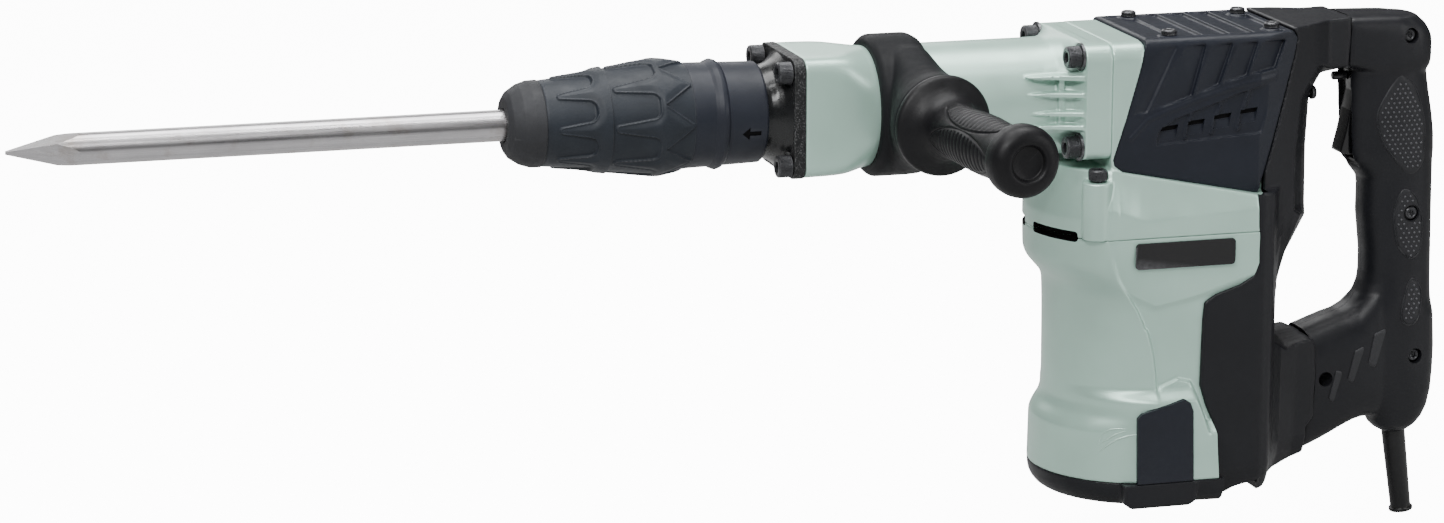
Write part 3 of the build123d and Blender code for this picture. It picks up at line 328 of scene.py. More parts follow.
# ------------------------------------------------------------ materials
def material(name, color, rough, metallic=0.0, coat=0.0, coat_rough=0.2, spec=0.5, tint=0.10,
             blotch=28.0, rough_var=0.10, grain=(0.5, 0.04), patches=None, edge_wear_and_highlight=None,
             streak=None, speck=None):
    """Procedural finish, with feature sizes in mm.

    tint: share by which the colour varies over blotches of size blotch
    rough_var: how far the roughness varies to each side
    grain: (size, depth) of the surface bumps
    patches: (colour, size, noise where they start, noise where they are full)
    edge_wear_and_highlight: (colour, pointiness where it starts, where it is full, most cover), on
    edges: lighter convex edges, partly wear and partly painted highlight
    streak: scale along x, y, z that draws the noise out into brush lines
    speck: (colour, size, noise threshold, cover)
    """
    mat = bpy.data.materials.new(name)
    mat.use_nodes = True
    nodes, links = mat.node_tree.nodes, mat.node_tree.links
    nodes.clear()
    output = nodes.new("ShaderNodeOutputMaterial")
    shader = nodes.new("ShaderNodeBsdfPrincipled")
    links.new(shader.outputs["BSDF"], output.inputs["Surface"])
    coords = nodes.new("ShaderNodeTexCoord").outputs["Object"]

    def noise(size, detail, roughness=0.55, vector=coords):
        node = nodes.new("ShaderNodeTexNoise")
        node.inputs["Scale"].default_value = 1000.0 / size
        node.inputs["Detail"].default_value = detail
        node.inputs["Roughness"].default_value = roughness
        links.new(vector, node.inputs["Vector"])
        return node.outputs["Fac"]

    def remap(value, source, target):
        node = nodes.new("ShaderNodeMapRange")
        for key, number in zip(("From Min", "From Max", "To Min", "To Max"), source + target):
            node.inputs[key].default_value = number
        links.new(value, node.inputs["Value"])
        return node.outputs["Result"]

    def mix(factor, under, over):
        node = nodes.new("ShaderNodeMix")
        node.data_type = "RGBA"
        links.new(factor, node.inputs[0])
        if isinstance(under, tuple):
            node.inputs[6].default_value = (*under, 1)
        else:
            links.new(under, node.inputs[6])
        node.inputs[7].default_value = (*over, 1)
        return node.outputs[2]

    def bump(height, depth):
        node = nodes.new("ShaderNodeBump")
        node.inputs["Strength"].default_value = 1.0
        node.inputs["Distance"].default_value = depth * MM
        links.new(height, node.inputs["Height"])
        return node

    shade = mix(remap(noise(blotch, detail=3.0), (0.35, 0.65), (0, 1)),
                tuple(c * (1 - tint) for c in color),
                tuple(min(1, c * (1 + tint)) for c in color))
    if patches:
        patch_color, size, start, full = patches
        shade = mix(remap(noise(size, detail=6.0, roughness=0.7), (start, full), (0, 1)),
                    shade, patch_color)
    if speck:
        speck_color, size, threshold, cover = speck
        shade = mix(remap(noise(size, detail=2.0), (threshold, threshold + 0.08), (0, cover)),
                    shade, speck_color)
    grain_coords = coords
    if streak:
        mapping = nodes.new("ShaderNodeMapping")
        mapping.inputs["Scale"].default_value = streak
        links.new(coords, mapping.inputs["Vector"])
        grain_coords = mapping.outputs["Vector"]
        lines = noise(1.2, detail=6.0, roughness=0.65, vector=grain_coords)
        shade = mix(remap(lines, (0.3, 0.7), (0, 0.45)), shade, tuple(c * 0.62 for c in color))
        roughness = remap(lines, (0.3, 0.7), (max(0.05, rough - rough_var), rough + rough_var))
    else:
        roughness = remap(noise(blotch * 0.35, detail=5.0, roughness=0.6), (0.3, 0.7),
                          (max(0.03, rough - rough_var), min(1, rough + rough_var)))
    # lighter colour on convex edges: partly wear, partly painted highlight where the edges would
    # catch the light
    if edge_wear_and_highlight:
        edge_wear_and_highlight_color, start, full, cover = edge_wear_and_highlight
        geometry = nodes.new("ShaderNodeNewGeometry")
        product = nodes.new("ShaderNodeMath")
        product.operation = "MULTIPLY"
        edges = remap(geometry.outputs["Pointiness"], (start, full), (0, 1))
        links.new(edges, product.inputs[0])
        broken = remap(noise(3.0, detail=5.0, roughness=0.7), (0.38, 0.62), (0.25, cover))
        links.new(broken, product.inputs[1])
        shade = mix(product.outputs[0], shade, edge_wear_and_highlight_color)
    links.new(shade, shader.inputs["Base Color"])
    links.new(roughness, shader.inputs["Roughness"])
    shader.inputs["Metallic"].default_value = metallic
    shader.inputs["Specular IOR Level"].default_value = spec
    shader.inputs["Coat Weight"].default_value = coat
    shader.inputs["Coat Roughness"].default_value = coat_rough
    size, depth = grain
    fine = bump(noise(size, detail=3.0, roughness=0.6, vector=grain_coords), depth)
    wavy = bump(noise(size * 9, detail=3.0, roughness=0.5), depth * 2.2)
    links.new(fine.outputs["Normal"], wavy.inputs["Normal"])
    links.new(wavy.outputs["Normal"], shader.inputs["Normal"])
    return mat


GREEN = material("paint_green", (0.375, 0.548, 0.470), rough=0.35, metallic=0.38, coat=0.30,
                 coat_rough=0.28, tint=0.035, blotch=40, rough_var=0.05, grain=(0.7, 0.012),
                 edge_wear_and_highlight=((0.496, 0.6768, 0.5963), 0.515, 0.56, 0.6))
# near black standing in for shade: painted shade on the floors of slots, vents and the sunk arrow
PAINTED_SHADE = material("cavity_painted_shade", (0.002, 0.002, 0.0022), rough=0.8, spec=0.1, grain=(1.0, 0.06))
PLASTIC = material("plastic_black", (0.0075, 0.0078, 0.0098), rough=0.42, spec=0.24, blotch=35,
                   rough_var=0.06, grain=(0.45, 0.030),
                   edge_wear_and_highlight=((0.0165, 0.01716, 0.01936), 0.52, 0.58, 0.55),
                   speck=((0.011, 0.01144, 0.0132), 0.4, 0.64, 0.5))
COVER = material("plastic_blue_black", (0.0070, 0.0088, 0.0145), rough=0.44, spec=0.26,
                 blotch=30, rough_var=0.06, grain=(0.4, 0.034),
                 edge_wear_and_highlight=((0.0238, 0.0252, 0.0294), 0.52, 0.58, 0.6),
                 speck=((0.0126, 0.014, 0.01736), 0.4, 0.64, 0.5))
RUBBER = material("rubber_grip", (0.0118, 0.0152, 0.0208), rough=0.52, spec=0.26, tint=0.12,
                  blotch=22, rough_var=0.08, grain=(0.35, 0.035),
                  edge_wear_and_highlight=((0.0408, 0.0425, 0.0476), 0.515, 0.57, 0.6),
                  speck=((0.0238, 0.02448, 0.0272), 0.5, 0.62, 0.4))
RUBBER_SIDE = material("rubber_side_grip", (0.0044, 0.0044, 0.0052), rough=0.46, spec=0.2,
                       tint=0.12, blotch=18, rough_var=0.08, grain=(0.35, 0.030),
                       edge_wear_and_highlight=((0.014, 0.014, 0.016), 0.515, 0.57, 0.6))
CAP = material("rubber_cap", (0.0231, 0.02394, 0.02688), rough=0.66, spec=0.26, tint=0.12,
               blotch=16, rough_var=0.08, grain=(0.4, 0.05),
               edge_wear_and_highlight=((0.0504, 0.0504, 0.0546), 0.515, 0.57, 0.5))
COLLAR = material("collar_plastic", (0.0110, 0.0132, 0.0200), rough=0.48, spec=0.26, tint=0.08,
                  blotch=26, rough_var=0.06, grain=(0.4, 0.022),
                  edge_wear_and_highlight=((0.032, 0.034, 0.04), 0.52, 0.58, 0.5))
BAND = material("clamp_plastic", (0.0066, 0.00704, 0.00814), rough=0.58, spec=0.12, blotch=24,
                rough_var=0.06, grain=(0.5, 0.025),
                edge_wear_and_highlight=((0.0176, 0.0187, 0.0209), 0.52, 0.58, 0.5))
NECK = material("black_enamel_gloss", (0.006, 0.0065, 0.007), rough=0.28, spec=0.3, coat=0.15,
                coat_rough=0.12, tint=0.15, blotch=14, rough_var=0.08, grain=(2.2, 0.10))
# its lighter rims are partly wear and partly painted glints on the flange's edges
CAST = material("black_enamel_cast", (0.007, 0.0075, 0.008), rough=0.46, spec=0.3, tint=0.2,
                blotch=6, rough_var=0.12, grain=(1.1, 0.42),
                edge_wear_and_highlight=((0.15, 0.155, 0.16), 0.53, 0.60, 0.7),
                speck=((0.1, 0.1025, 0.105), 0.75, 0.57, 0.8))
BOLT = material("black_oxide", (0.030, 0.031, 0.034), rough=0.32, metallic=0.55, tint=0.2,
                blotch=5, rough_var=0.12, grain=(0.4, 0.03),
                edge_wear_and_highlight=((0.20, 0.20, 0.21), 0.52, 0.60, 0.7))
BIT = material("ground_steel", (0.46, 0.45, 0.46), rough=0.30, metallic=1.0, tint=0.08,
               blotch=30, rough_var=0.07, grain=(0.9, 0.010), streak=(0.02, 1.0, 1.0),
               patches=((0.30, 0.26, 0.23), 26.0, 0.52, 0.72))
STEEL = material("machined_steel", (0.50, 0.50, 0.52), rough=0.30, metallic=1.0, tint=0.08,
                 blotch=12, rough_var=0.08, grain=(0.5, 0.012))
ALU = material("cast_aluminium", (0.56, 0.57, 0.58), rough=0.48, metallic=0.9, tint=0.08,
               blotch=9, grain=(0.7, 0.06))
COPPER = material("enamelled_copper", (0.62, 0.26, 0.11), rough=0.32, metallic=0.8, coat=0.4,
                  tint=0.15, blotch=5, grain=(0.8, 0.12))
CORE = material("laminated_steel", (0.26, 0.26, 0.28), rough=0.50, metallic=0.85, tint=0.12,
                blotch=6, grain=(0.6, 0.04), streak=(0.05, 0.05, 1.0))
BALLS = material("polished_bearing_steel", (0.66, 0.66, 0.68), rough=0.14, metallic=1.0,
                 tint=0.05, blotch=8, rough_var=0.05, grain=(0.4, 0.004))
# its light edges are mostly a painted highlight along the edges of the trigger and the lock pin
GLOSS = material("gloss_black", (0.0035, 0.0035, 0.004), rough=0.22, spec=0.3, coat=0.3,
                 coat_rough=0.12, blotch=12, rough_var=0.05, grain=(1.2, 0.010),
                 edge_wear_and_highlight=((0.35, 0.35, 0.37), 0.56, 0.64, 0.5))
GRAPHITE = material("graphite", (0.045, 0.045, 0.048), rough=0.55, tint=0.15, blotch=6,
                    grain=(0.4, 0.05))
FAN = material("fan_plastic", (0.16, 0.16, 0.17), rough=0.5, tint=0.08, blotch=12,
               grain=(0.5, 0.03))
CABLE = material("cable_rubber", (0.005, 0.005, 0.0056), rough=0.34, spec=0.3, coat=0.08,
                 tint=0.12, blotch=14, rough_var=0.07, grain=(0.5, 0.02))
# near black inside the knob's end recess: painted shade that makes the recess read deeper
KNOB_SHADE = material("knob_recess_painted_shade", (0.003, 0.003, 0.0032), rough=0.7, spec=0.15, tint=0.2,
                    blotch=8, grain=(0.5, 0.05))
PAD = material("pad_rubber", (0.01428, 0.0147, 0.0168), rough=0.50, spec=0.24, blotch=14,
               rough_var=0.07, grain=(0.3, 0.02),
               edge_wear_and_highlight=((0.0924, 0.0924, 0.1008), 0.54, 0.62, 0.7))
BAR = material("bar_plastic", (0.0225, 0.02295, 0.0252), rough=0.55, spec=0.22, tint=0.08,
               blotch=14, rough_var=0.06, grain=(0.35, 0.03),
               edge_wear_and_highlight=((0.045, 0.045, 0.0495), 0.53, 0.6, 0.5))
DOT = material("pad_dot_rubber", (0.055, 0.056, 0.062), rough=0.42, spec=0.4, blotch=9,
               rough_var=0.07, grain=(0.3, 0.02))

SLOT_MATERIAL = {
    "green": GREEN, "black_cast": CAST, "black_plastic": PLASTIC, "rubber": RUBBER,
    "collar": COLLAR, "bit_steel": BIT, "steel": STEEL, "black_bolt": BOLT, "aluminium": ALU,
    "copper": COPPER, "bearing": BALLS, "gloss_black": GLOSS, "graphite": GRAPHITE,
    "core": CORE, "fan": FAN, "cable": CABLE}


def dress_cad_pieces():
    """Colours the loaded CAD pieces and softens the edges of three that stay in view."""
    nodes = frame["nodes"]
    slots = {part["node"]: part["material_slot"] for part in frame["record"]["subparts"]}
    for name, part in nodes.items():
        part.data.materials.clear()
        part.data.materials.append(SLOT_MATERIAL[slots[name]])
    nodes["side_panels"].data.materials[0] = COVER
    nodes["cord_guard"].data.materials[0] = CABLE
    for name in ("side_panels", "badge_plate", "cord_guard"):
        nodes[name].modifiers.new("weld", "WELD").merge_threshold = 1e-5
        add_bevel(nodes[name], width=0.0005, angle=40).harden_normals = True


# ------------------------------------------------------------ chuck
# Profiles of (x, radius, corner radius)
CAP_PROFILE = [(0, 9.6, 0.6), (0, 15.6, 2.2), (2.4, 19.2, 2.5), (8.2, 22.9, 3), (14.0, 24.75, 3),
               (19.6, 24.95, 0.5), (20.45, 24.3, 0.2), (20.45, 14.3, 0.2), (8, 14.3, 0.3),
               (8, 9.6, 0.3)]
COLLAR_PROFILE = [(105.05, 30.3, 0.4), (117.6, 30.0, 0.6), (119.4, 31.0, 0.8),
                  (121.9, 31.95, 1.6), (124.2, 31.2, 0.8), (125.6, 29.75, 0.6),
                  (147.3, 29.15, 1.0), (148.55, 28.2, 0.6), (148.55, 27.3, 0.2),
                  (129.4, 27.3, 0), (129.4, 22.6, 0), (105.05, 22.6, 0)]
# Arrow sunk into both flanks of the collar, (x, z)
ARROW = [(132.6, -7), (137.2, -3.2), (137.2, -5.7), (143.8, -5.7), (143.8, -8.3), (137.2, -8.3),
         (137.2, -10.8)]
# Chuck grip, (x, radius): ground between the ribs, crown of the ribs, and the bore
GRIP_FLOOR = [(20.5, 24.5), (30, 25.4), (39, 26.0), (47.5, 26.6), (52.0, 28.3), (56.7, 29.2),
              (65.5, 30.0), (74, 31.0), (83.0, 31.9), (87, 33.0), (92, 31.9), (101, 30.7),
              (105, 30.3)]
GRIP_CROWN = [(20.5, 25.2), (30, 26.8), (40, 28.0), (48.7, 29.2), (53, 30.0), (57.5, 30.6),
              (65, 31.5), (74, 32.9), (84, 34.0), (88, 33.9), (93, 33.5), (100, 32.7),
              (103.6, 32.2), (105, 31.0)]
GRIP_BORE = [(105, 22.6), (76, 22.6), (76, 21.1), (48, 21.1), (48, 18.7), (20.5, 18.7)]
GRIP_RIBS = 8
GRIP_POINTS = 560
TONGUE_ROUND = 4.2  # radius that rounds the ends of the gaps between ribs


def dust_cap():
    piece(revolve(fillet(CAP_PROFILE, 0.5), 160), "dust_cap", "chuck", "rubber", CAP,
          "front_cap")


def chuck_grip():
    """Rubber sleeve as a height field: two rows of ribs, then a row of arrowheads."""
    stations = np.unique(np.concatenate([np.arange(20.6, 105.0, 0.42), [20.5, 105.0]]))
    degrees = np.degrees(angles(GRIP_POINTS))
    pitch = 360 / GRIP_RIBS
    from_tongue = np.radians(degrees % pitch - pitch / 2)
    from_rib = np.radians((degrees + pitch / 2) % pitch - pitch / 2)
    loops = []
    for x in stations:
        ground = interp(x, GRIP_FLOOR)
        crown = max(interp(x, GRIP_CROWN), ground)
        tongue_arc, rib_arc = np.abs(from_tongue * ground), np.abs(from_rib * ground)
        # inside: distance within the raised shape, negative outside it
        if x < 87.5:
            start, width, end = (29.0, 2.0, 48.7) if x < 57.0 else (61.0, 2.3, 84.3)
            width += max(0.0, x - start) * 0.15
            if x < end - TONGUE_ROUND:
                inside = width - (np.hypot(x - start, rib_arc) if x < start else rib_arc)
            else:
                past = tongue_arc - (PI * ground / GRIP_RIBS - width - TONGUE_ROUND)
                inside = np.hypot(x - (end - TONGUE_ROUND), np.maximum(past, 0)) - TONGUE_ROUND
        else:
            half = np.interp(x, [88.0, 103.4], [12.5, 1.2])
            inside = np.minimum((half - rib_arc) * 0.8, (104.0 - x) * 1.2)
        rise = 0.55 * smooth((inside + 0.25) / 0.55) + 0.45 * smooth(inside / 5.0)
        lip = 0.34 * np.exp(-(((inside - 0.32) / 0.40) ** 2))
        radii = ground + (crown - ground) * rise
        radii = radii + lip * smooth((x - 24) / 4) * smooth((104.5 - x) / 2)
        if x > 104.2:
            radii = np.minimum(radii, 31.4 - (x - 104.2) * 0.9)
        if x < 21.2:
            radii = radii - (21.2 - x) * 0.5
        loops.append(axis_ring(x, radii))
    loops += [axis_ring(x, [r] * GRIP_POINTS) for x, r in GRIP_BORE]
    piece(loft(loops, closed=True), "chuck_grip_sleeve", "chuck", "rubber", RUBBER,
          "chuck_grip", sharp=60)


def operating_collar():
    sleeve = revolve(fillet(COLLAR_PROFILE, 0.5), 192)
    for side in SIDES:
        shell = revolve([(130, 28.75), (130, 34), (146, 34), (146, 28.75)], 192)
        cut(sleeve, meet(prism(ARROW, "y", side * 15, side * 40), shell))
    # the floor of the sunk arrow gets the near-black finish: painted shade in the recess
    second_faces(sleeve, lambda x, y, z: 132.4 < x < 144 and abs(z + 7) < 4.2
                 and 28.0 < math.hypot(y, z) < 28.95)
    piece(sleeve, "operating_collar", "chuck", "collar", (COLLAR, PAINTED_SHADE), "operating_sleeve")


# ------------------------------------------------------------ screws
def axes_of(direction):
    along = Vector(direction).normalized()
    across = along.orthogonal().normalized()
    return along, across, along.cross(across)


def cap_screw(base, axis, head_r, head_h, socket_r, shank_r, shank, knurls=48, socket=3.4):
    """Socket head screw: head stands from base along the axis, shank runs the other way.

    shank and socket are the length of the shank and the depth of the hexagon."""
    along, across, up = axes_of(axis)
    turns = angles(knurls * 4)
    wave = [0.5 + 0.5 * math.cos(knurls * t) for t in turns]
    hexagon = [math.cos(PI / 6) / math.cos(t % (PI / 3) - PI / 6) for t in turns]
    # (height, radius, knurl depth)
    outside = [(-shank, shank_r * 0.8, 0), (-shank + 0.6, shank_r, 0), (0, shank_r, 0),
               (0, head_r - 0.4, 0), (0.4, head_r, 0), (0.8, head_r, 0.22),
               (head_h - 1.3, head_r, 0.22), (head_h - 0.9, head_r - 0.05, 0),
               (head_h - 0.3, head_r - 0.45, 0), (head_h, head_r - 0.95, 0),
               (head_h, socket_r + 0.75, 0), (head_h - 0.35, socket_r + 0.3, 0)]
    inside = [(head_h - 0.5, socket_r), (head_h - socket, socket_r),
              (head_h - socket - 0.6, socket_r * 0.35)]
    loops = [ring(Vector(base) + along * h, across, up, [r - depth * w for w in wave])
             for h, r, depth in outside]
    loops += [ring(Vector(base) + along * h, across, up, [r * f for f in hexagon])
              for h, r in inside]
    return loft(loops)


def washer(base, axis, outer, hole, height):
    along, across, up = axes_of(axis)
    profile = fillet([(0, hole, 0), (0, outer, 0), (height, outer, 0.25), (height, hole, 0)],
                     0.1, 2)
    return loft([ring(Vector(base) + along * h, across, up, [r] * 64) for h, r in profile],
                closed=True)


def body_screws():
    screws = [cap_screw((161.0, y, z), FORWARD, head_r=6.4, head_h=8.4, socket_r=3.3,
                        shank_r=3.95, shank=27.5) for y, z in NOSE_SCREWS]
    piece(join(screws), "nose_screws", "housing", "black_bolt", BOLT, "front_cover_bolts",
          sharp=30)
    screws = []
    for y, z in BARREL_SCREWS:
        screws.append(cap_screw((331.85, y, z), FORWARD, head_r=6.4, head_h=8.0, socket_r=3.3,
                                shank_r=3.95, shank=40.0))
        screws.append(washer((333.45, y, z), FORWARD, outer=8.1, hole=4.0, height=1.55))
    piece(join(screws), "barrel_screws", "housing", "black_bolt", BOLT, "cylinder_case_bolts",
          sharp=30)
    screws = [cap_screw((x, y, -41.95), (0, 0, 1), head_r=5.5, head_h=6.3, socket_r=2.8,
                        shank_r=2.5, shank=34.0, knurls=42, socket=2.8) for x, y in CASE_SCREWS]
    piece(join(screws), "case_screws", "housing", "black_bolt", BOLT, "crank_case_screws",
          sharp=30)


# ------------------------------------------------------------ nose flange
FLANGE_HALF = 35
NECK_PROFILE = [(130.2, 0.5), (130.2, 26.2), (131.0, 27.0), (151.0, 27.0), (154.5, 28.0),
                (158.0, 30.4), (161.0, 33.6), (163.5, 35.0), (163.5, 0.5)]  # (x, radius)


def nose_flange():
    h = FLANGE_HALF
    plate = prism(fillet([(-h, -h), (h, -h), (h, h), (-h, h)], 9, 8), "x", 161.6, 168.45)
    front = unite(plate, revolve(NECK_PROFILE, closed=False))
    cut_apart(front, *cylinders("x", NOSE_SCREWS, 8.0, 120, 161.05, 64))
    front = remesh(front, 0.55, 3)
    cut_apart(front, cylinder("x", (0, 0), 22.08, 100, 200, 128),
              *cylinders("x", NOSE_SCREWS, 4.05, 120, 200, 32))
    # the as-cast flange is rougher than the turned neck
    verts = front.data.vertices
    co = np.empty(len(verts) * 3)
    verts.foreach_get("co", co)
    co = co.reshape(-1, 3)
    normals = np.array([v.normal[:] for v in verts])
    rng = np.random.default_rng(7)
    x = co[:, 0] / MM
    cast = (smooth((x - 161.2) / 0.8) * smooth((168.2 - x) / 0.4)
            * (np.hypot(co[:, 1], co[:, 2]) / MM > 24))
    co += normals * (rng.uniform(-0.20, 0.10, len(co)) * cast * MM)[:, None]
    co[:, 1:] = np.clip(co[:, 1:], -h * MM, h * MM)
    verts.foreach_set("co", co.ravel())
    second_faces(front, lambda x, y, z: x > 161.35 and math.hypot(y, z) > 23)
    piece(front, "nose_flange", "housing", "black_cast", (NECK, CAST), "front_cover", sharp=0)


# ------------------------------------------------------------ cylinder case
# (x, half width, half height, superellipse power)
BARREL = [(168.5, 34.6, 34.6, 9.5), (169.1, 35, 35, 9), (180, 35, 35, 8.5), (188, 35, 35, 7.5),
          (193, 35, 35, 6.2), (197, 35, 35, 4.9), (201, 34.95, 34.95, 3.8),
          (205, 34.9, 34.9, 3.0), (209, 34.8, 34.8, 2.45), (213, 34.72, 34.72, 2.1),
          (217, 34.7, 34.7, 2.0), (314, 34.7, 34.7, 2.0), (322, 35.2, 34.8, 2.05),
          (328, 37.5, 35.2, 2.4), (332, 41.5, 35.7, 3.2), (334, 45, 36.2, 5.0),
          (340, 45, 36.2, 6.0)]
FIN_HEIGHTS = (17.5, 7.5, -3.7, -11.5)
FIN = [(300.5, 25), (302.0, 34.3), (309, 36.6), (316, 38.2), (322, 40.2), (329, 43.0),
       (335.5, 45.4), (336, 25)]  # plan, (x, distance out)
BARREL_BORE = [(150, 0.5), (150, 27.05), (172, 27.05), (172, 26.05), (184, 26.05),
               (184, 22.55), (360, 22.55), (360, 0.5)]  # (x, radius)


def barrel_casting():
    loops = []
    for x in np.unique(np.concatenate([np.linspace(168.5, 220, 60), np.linspace(220, 312, 20),
                                       np.linspace(312, 340, 30)])):
        half_y, half_z, power = (interp(x, [(row[0], row[i]) for row in BARREL])
                                 for i in (1, 2, 3))
        lift = float(smooth((x - 320) / 12))
        # flattened underneath towards the back
        loops.append([(x, y, max(z, -31.5) + lift if x > 326 else z + lift * (z > 0))
                      for y, z in superellipse(half_y, half_z, power, 160)])
    barrel = loft(loops)
    end = fillet([(-46, -31, 7), (46, -31, 7), (46, 36.6, 12), (-46, 36.6, 12)], 9, 8)
    parts = [prism(end, "x", 333.5, 349.45)]
    for z in FIN_HEIGHTS:
        for side in SIDES:
            parts.append(loft([[(x, side * y,
                                 z + s * (0.45 + 1.1 * min(1.0, max(0.0, (x - 301) / 16))))
                                for x, y in FIN] for s in (-1, 1)]))
    for side in SIDES:
        parts.append(block(320.0, 323.4, *sorted((side * 30, side * 36.6)), -12, 18))
    case = unite(barrel, *parts)
    cut_apart(case, *cylinders("x", BARREL_SCREWS, 9.1, 312, 333.5, 64))
    case = remesh(case, 0.70, 3)
    cut_apart(case, revolve(BARREL_BORE, closed=False),
              *cylinders("x", NOSE_SCREWS, 4.1, 160, 190.5, 32),
              *cylinders("x", BARREL_SCREWS, 4.1, 320, 360, 32))
    # trim to the joint faces
    cut_apart(case, block(349.45, 356, -60, 60, -60, 60), block(160, 168.5, -60, 60, -60, 60))
    piece(case, "barrel_casting", "housing", "green", GREEN, "cylinder_case", sharp=55)


# ------------------------------------------------------------ clamp and side grip
# The side grip runs out to -y from the striking axis, leaning back a little
TILT = math.radians(5.5)
SIDE_ALONG = Vector((math.sin(TILT), -math.cos(TILT), 0))
SIDE_ACROSS = Vector((math.cos(TILT), math.sin(TILT), 0))
SIDE_UP = Vector((0, 0, 1))
SIDE_ORIGIN = Vector((232, 0, 0))

BAND_PROFILE = [(213.2, 30, 0), (212.9, 38.0, 1.5), (216.4, 41.4, 3.0), (239.4, 41.4, 3.5),
                (245.4, 38.2, 2.0), (245.6, 30, 0)]  # (x, radius, corner radius)
# Clamp neck, (distance along, half across, half up, superellipse power)
CLAMP_NECK = [(14, 16, 38.5, 3.4), (24, 16.8, 37.0, 3.0), (31, 17.6, 34.8, 2.7),
              (37, 18.8, 32.4, 2.5), (43, 20.8, 30.2, 2.3), (49, 23.4, 28.8, 2.1),
              (54, 25.4, 28.2, 2.0), (60, 27.0, 28.2, 2.0), (64, 27.8, 28.3, 2.0),
              (65.9, 27.4, 27.8, 2.0)]
# Side grip, (distance along, radius)
SIDE_GRIP = [(66.1, 27.2), (66.6, 28.3), (67.4, 28.9), (69.5, 29.0), (71.0, 28.8), (72.2, 27.9),
             (73.4, 25.9), (75.0, 23.2), (77.0, 20.6), (79.5, 18.4), (82.5, 16.9), (86, 16.1),
             (92, 15.7), (100, 15.7), (110, 16.1), (122, 16.5), (134, 16.5), (146, 16.1),
             (154, 15.7), (158, 15.6), (161, 15.8), (163.2, 16.5), (165.0, 17.8),
             (166.6, 19.1), (168.5, 20.0), (171, 20.35), (175, 20.4), (178, 20.0),
             (180.6, 18.8), (182.4, 17.0), (183.4, 14.8), (183.8, 12.6), (183.7, 11.2),
             (183.2, 10.3), (182.2, 9.9), (181.6, 9.6)]
KNOB_RECESS = [(180.6, 9.3), (180.2, 8.6), (180.1, 4.2), (180.1, 0.6)]
SIDE_GRIP_POINTS = 300


def side_point(along, across, up):
    return tuple(SIDE_ORIGIN + SIDE_ALONG * along + SIDE_ACROSS * across + SIDE_UP * up)


def side_loop(along, half_across, half_up, power=2.0, count=96):
    return [side_point(along, u, w) for u, w in superellipse(half_across, half_up, power, count)]


def side_hole(radius, start, end):
    return loft([side_loop(along, radius, radius, count=48) for along in (start, end)])


def clamp():
    band = revolve(fillet(BAND_PROFILE, 1.0), 160)
    filling = cylinder("x", (0, 0), 32, 216, 243, 64)
    neck = loft([side_loop(*station) for station in CLAMP_NECK])
    part = remesh(join([band, filling, neck]), 0.8, 18, 0.6)
    cut(part, cylinder("x", (0, 0), 34.78, 190, 260, 160), side_hole(4.35, 30, 80))
    piece(part, "side_handle_clamp", "side_handle", "black_plastic", BAND, "clamp_band",
          sharp=50)


def side_grip():
    """Turned grip with four leaf-shaped fields of cross grooves."""
    stations, radii = (np.array(column) for column in zip(*SIDE_GRIP))
    arc = np.concatenate([[0], np.cumsum(np.hypot(np.diff(stations), np.diff(radii)))])
    steps = np.linspace(0, arc[-1], 330)
    stations, radii = np.interp(steps, arc, stations), np.interp(steps, arc, radii)
    for _ in range(6):  # ease the polyline
        for line in (stations, radii):
            line[1:-1] = line[1:-1] * 0.5 + (line[:-2] + line[2:]) * 0.25
    turns = np.array(angles(SIDE_GRIP_POINTS))
    leaf_angle = math.radians(180 - 33 - 45)
    from_leaf = (turns - leaf_angle + PI / 4) % (PI / 2) - PI / 4

    def circle_points(along, offsets, r):
        return [side_point(along, (r + o) * math.cos(t), (r + o) * math.sin(t))
                for o, t in zip(offsets, turns)]

    loops = []
    for a, r in zip(stations, radii):
        half = 12.4 * max(0.0, math.sin(PI * min(1, max(0, (a - 86) / 76)))) ** 0.55
        inside = half - np.abs(from_leaf * r)
        on_leaf = 1.0 if 88 < a < 160 else 0.0
        outline = np.exp(-((inside / 0.55) ** 2)) * on_leaf
        row = ((a - 93.0) / 4.6) % 1.0
        lines = math.exp(-(((row - 0.5) / 0.16) ** 2)) * (1.0 if 93 < a < 156 else 0.0)
        swell = smooth(inside / 3.0) * 0.35 * on_leaf
        offsets = swell - 0.75 * outline - 0.62 * lines * smooth((inside - 1.2) / 1.0)
        loops.append(circle_points(a, offsets, r))
    loops += [circle_points(a, [0.0] * SIDE_GRIP_POINTS, r) for a, r in KNOB_RECESS]
    grip = cut(loft(loops), side_hole(4.1, 60, 128.2))

    def in_recess(x, y, z):
        c = Vector((x, y, z)) - SIDE_ORIGIN
        along = c.dot(SIDE_ALONG)
        return along > 180.5 and (c - SIDE_ALONG * along).length < 9.6

    # faces in the recess at the knob's end get the near-black finish: painted shade in the recess
    second_faces(grip, in_recess)
    piece(grip, "side_grip_body", "side_grip", "rubber", (RUBBER_SIDE, KNOB_SHADE), "side_grip",
          sharp=60)


# ------------------------------------------------------------ crank case
SKIRT_LEVELS = [-77.0, -76.6, -73, -70, -68.5, -67, -65.5, -64, -62.5, -61, -59, -56, -52, -48,
                -44, -40, -37]


def bow(front_x, ridge_x, half):
    """Centre x and radius of the arc from (ridge_x, -half) by (front_x, 0) to (ridge_x, half)."""
    depth = ridge_x - front_x
    radius = (half * half + depth * depth) / (2 * depth)
    return front_x + radius, radius


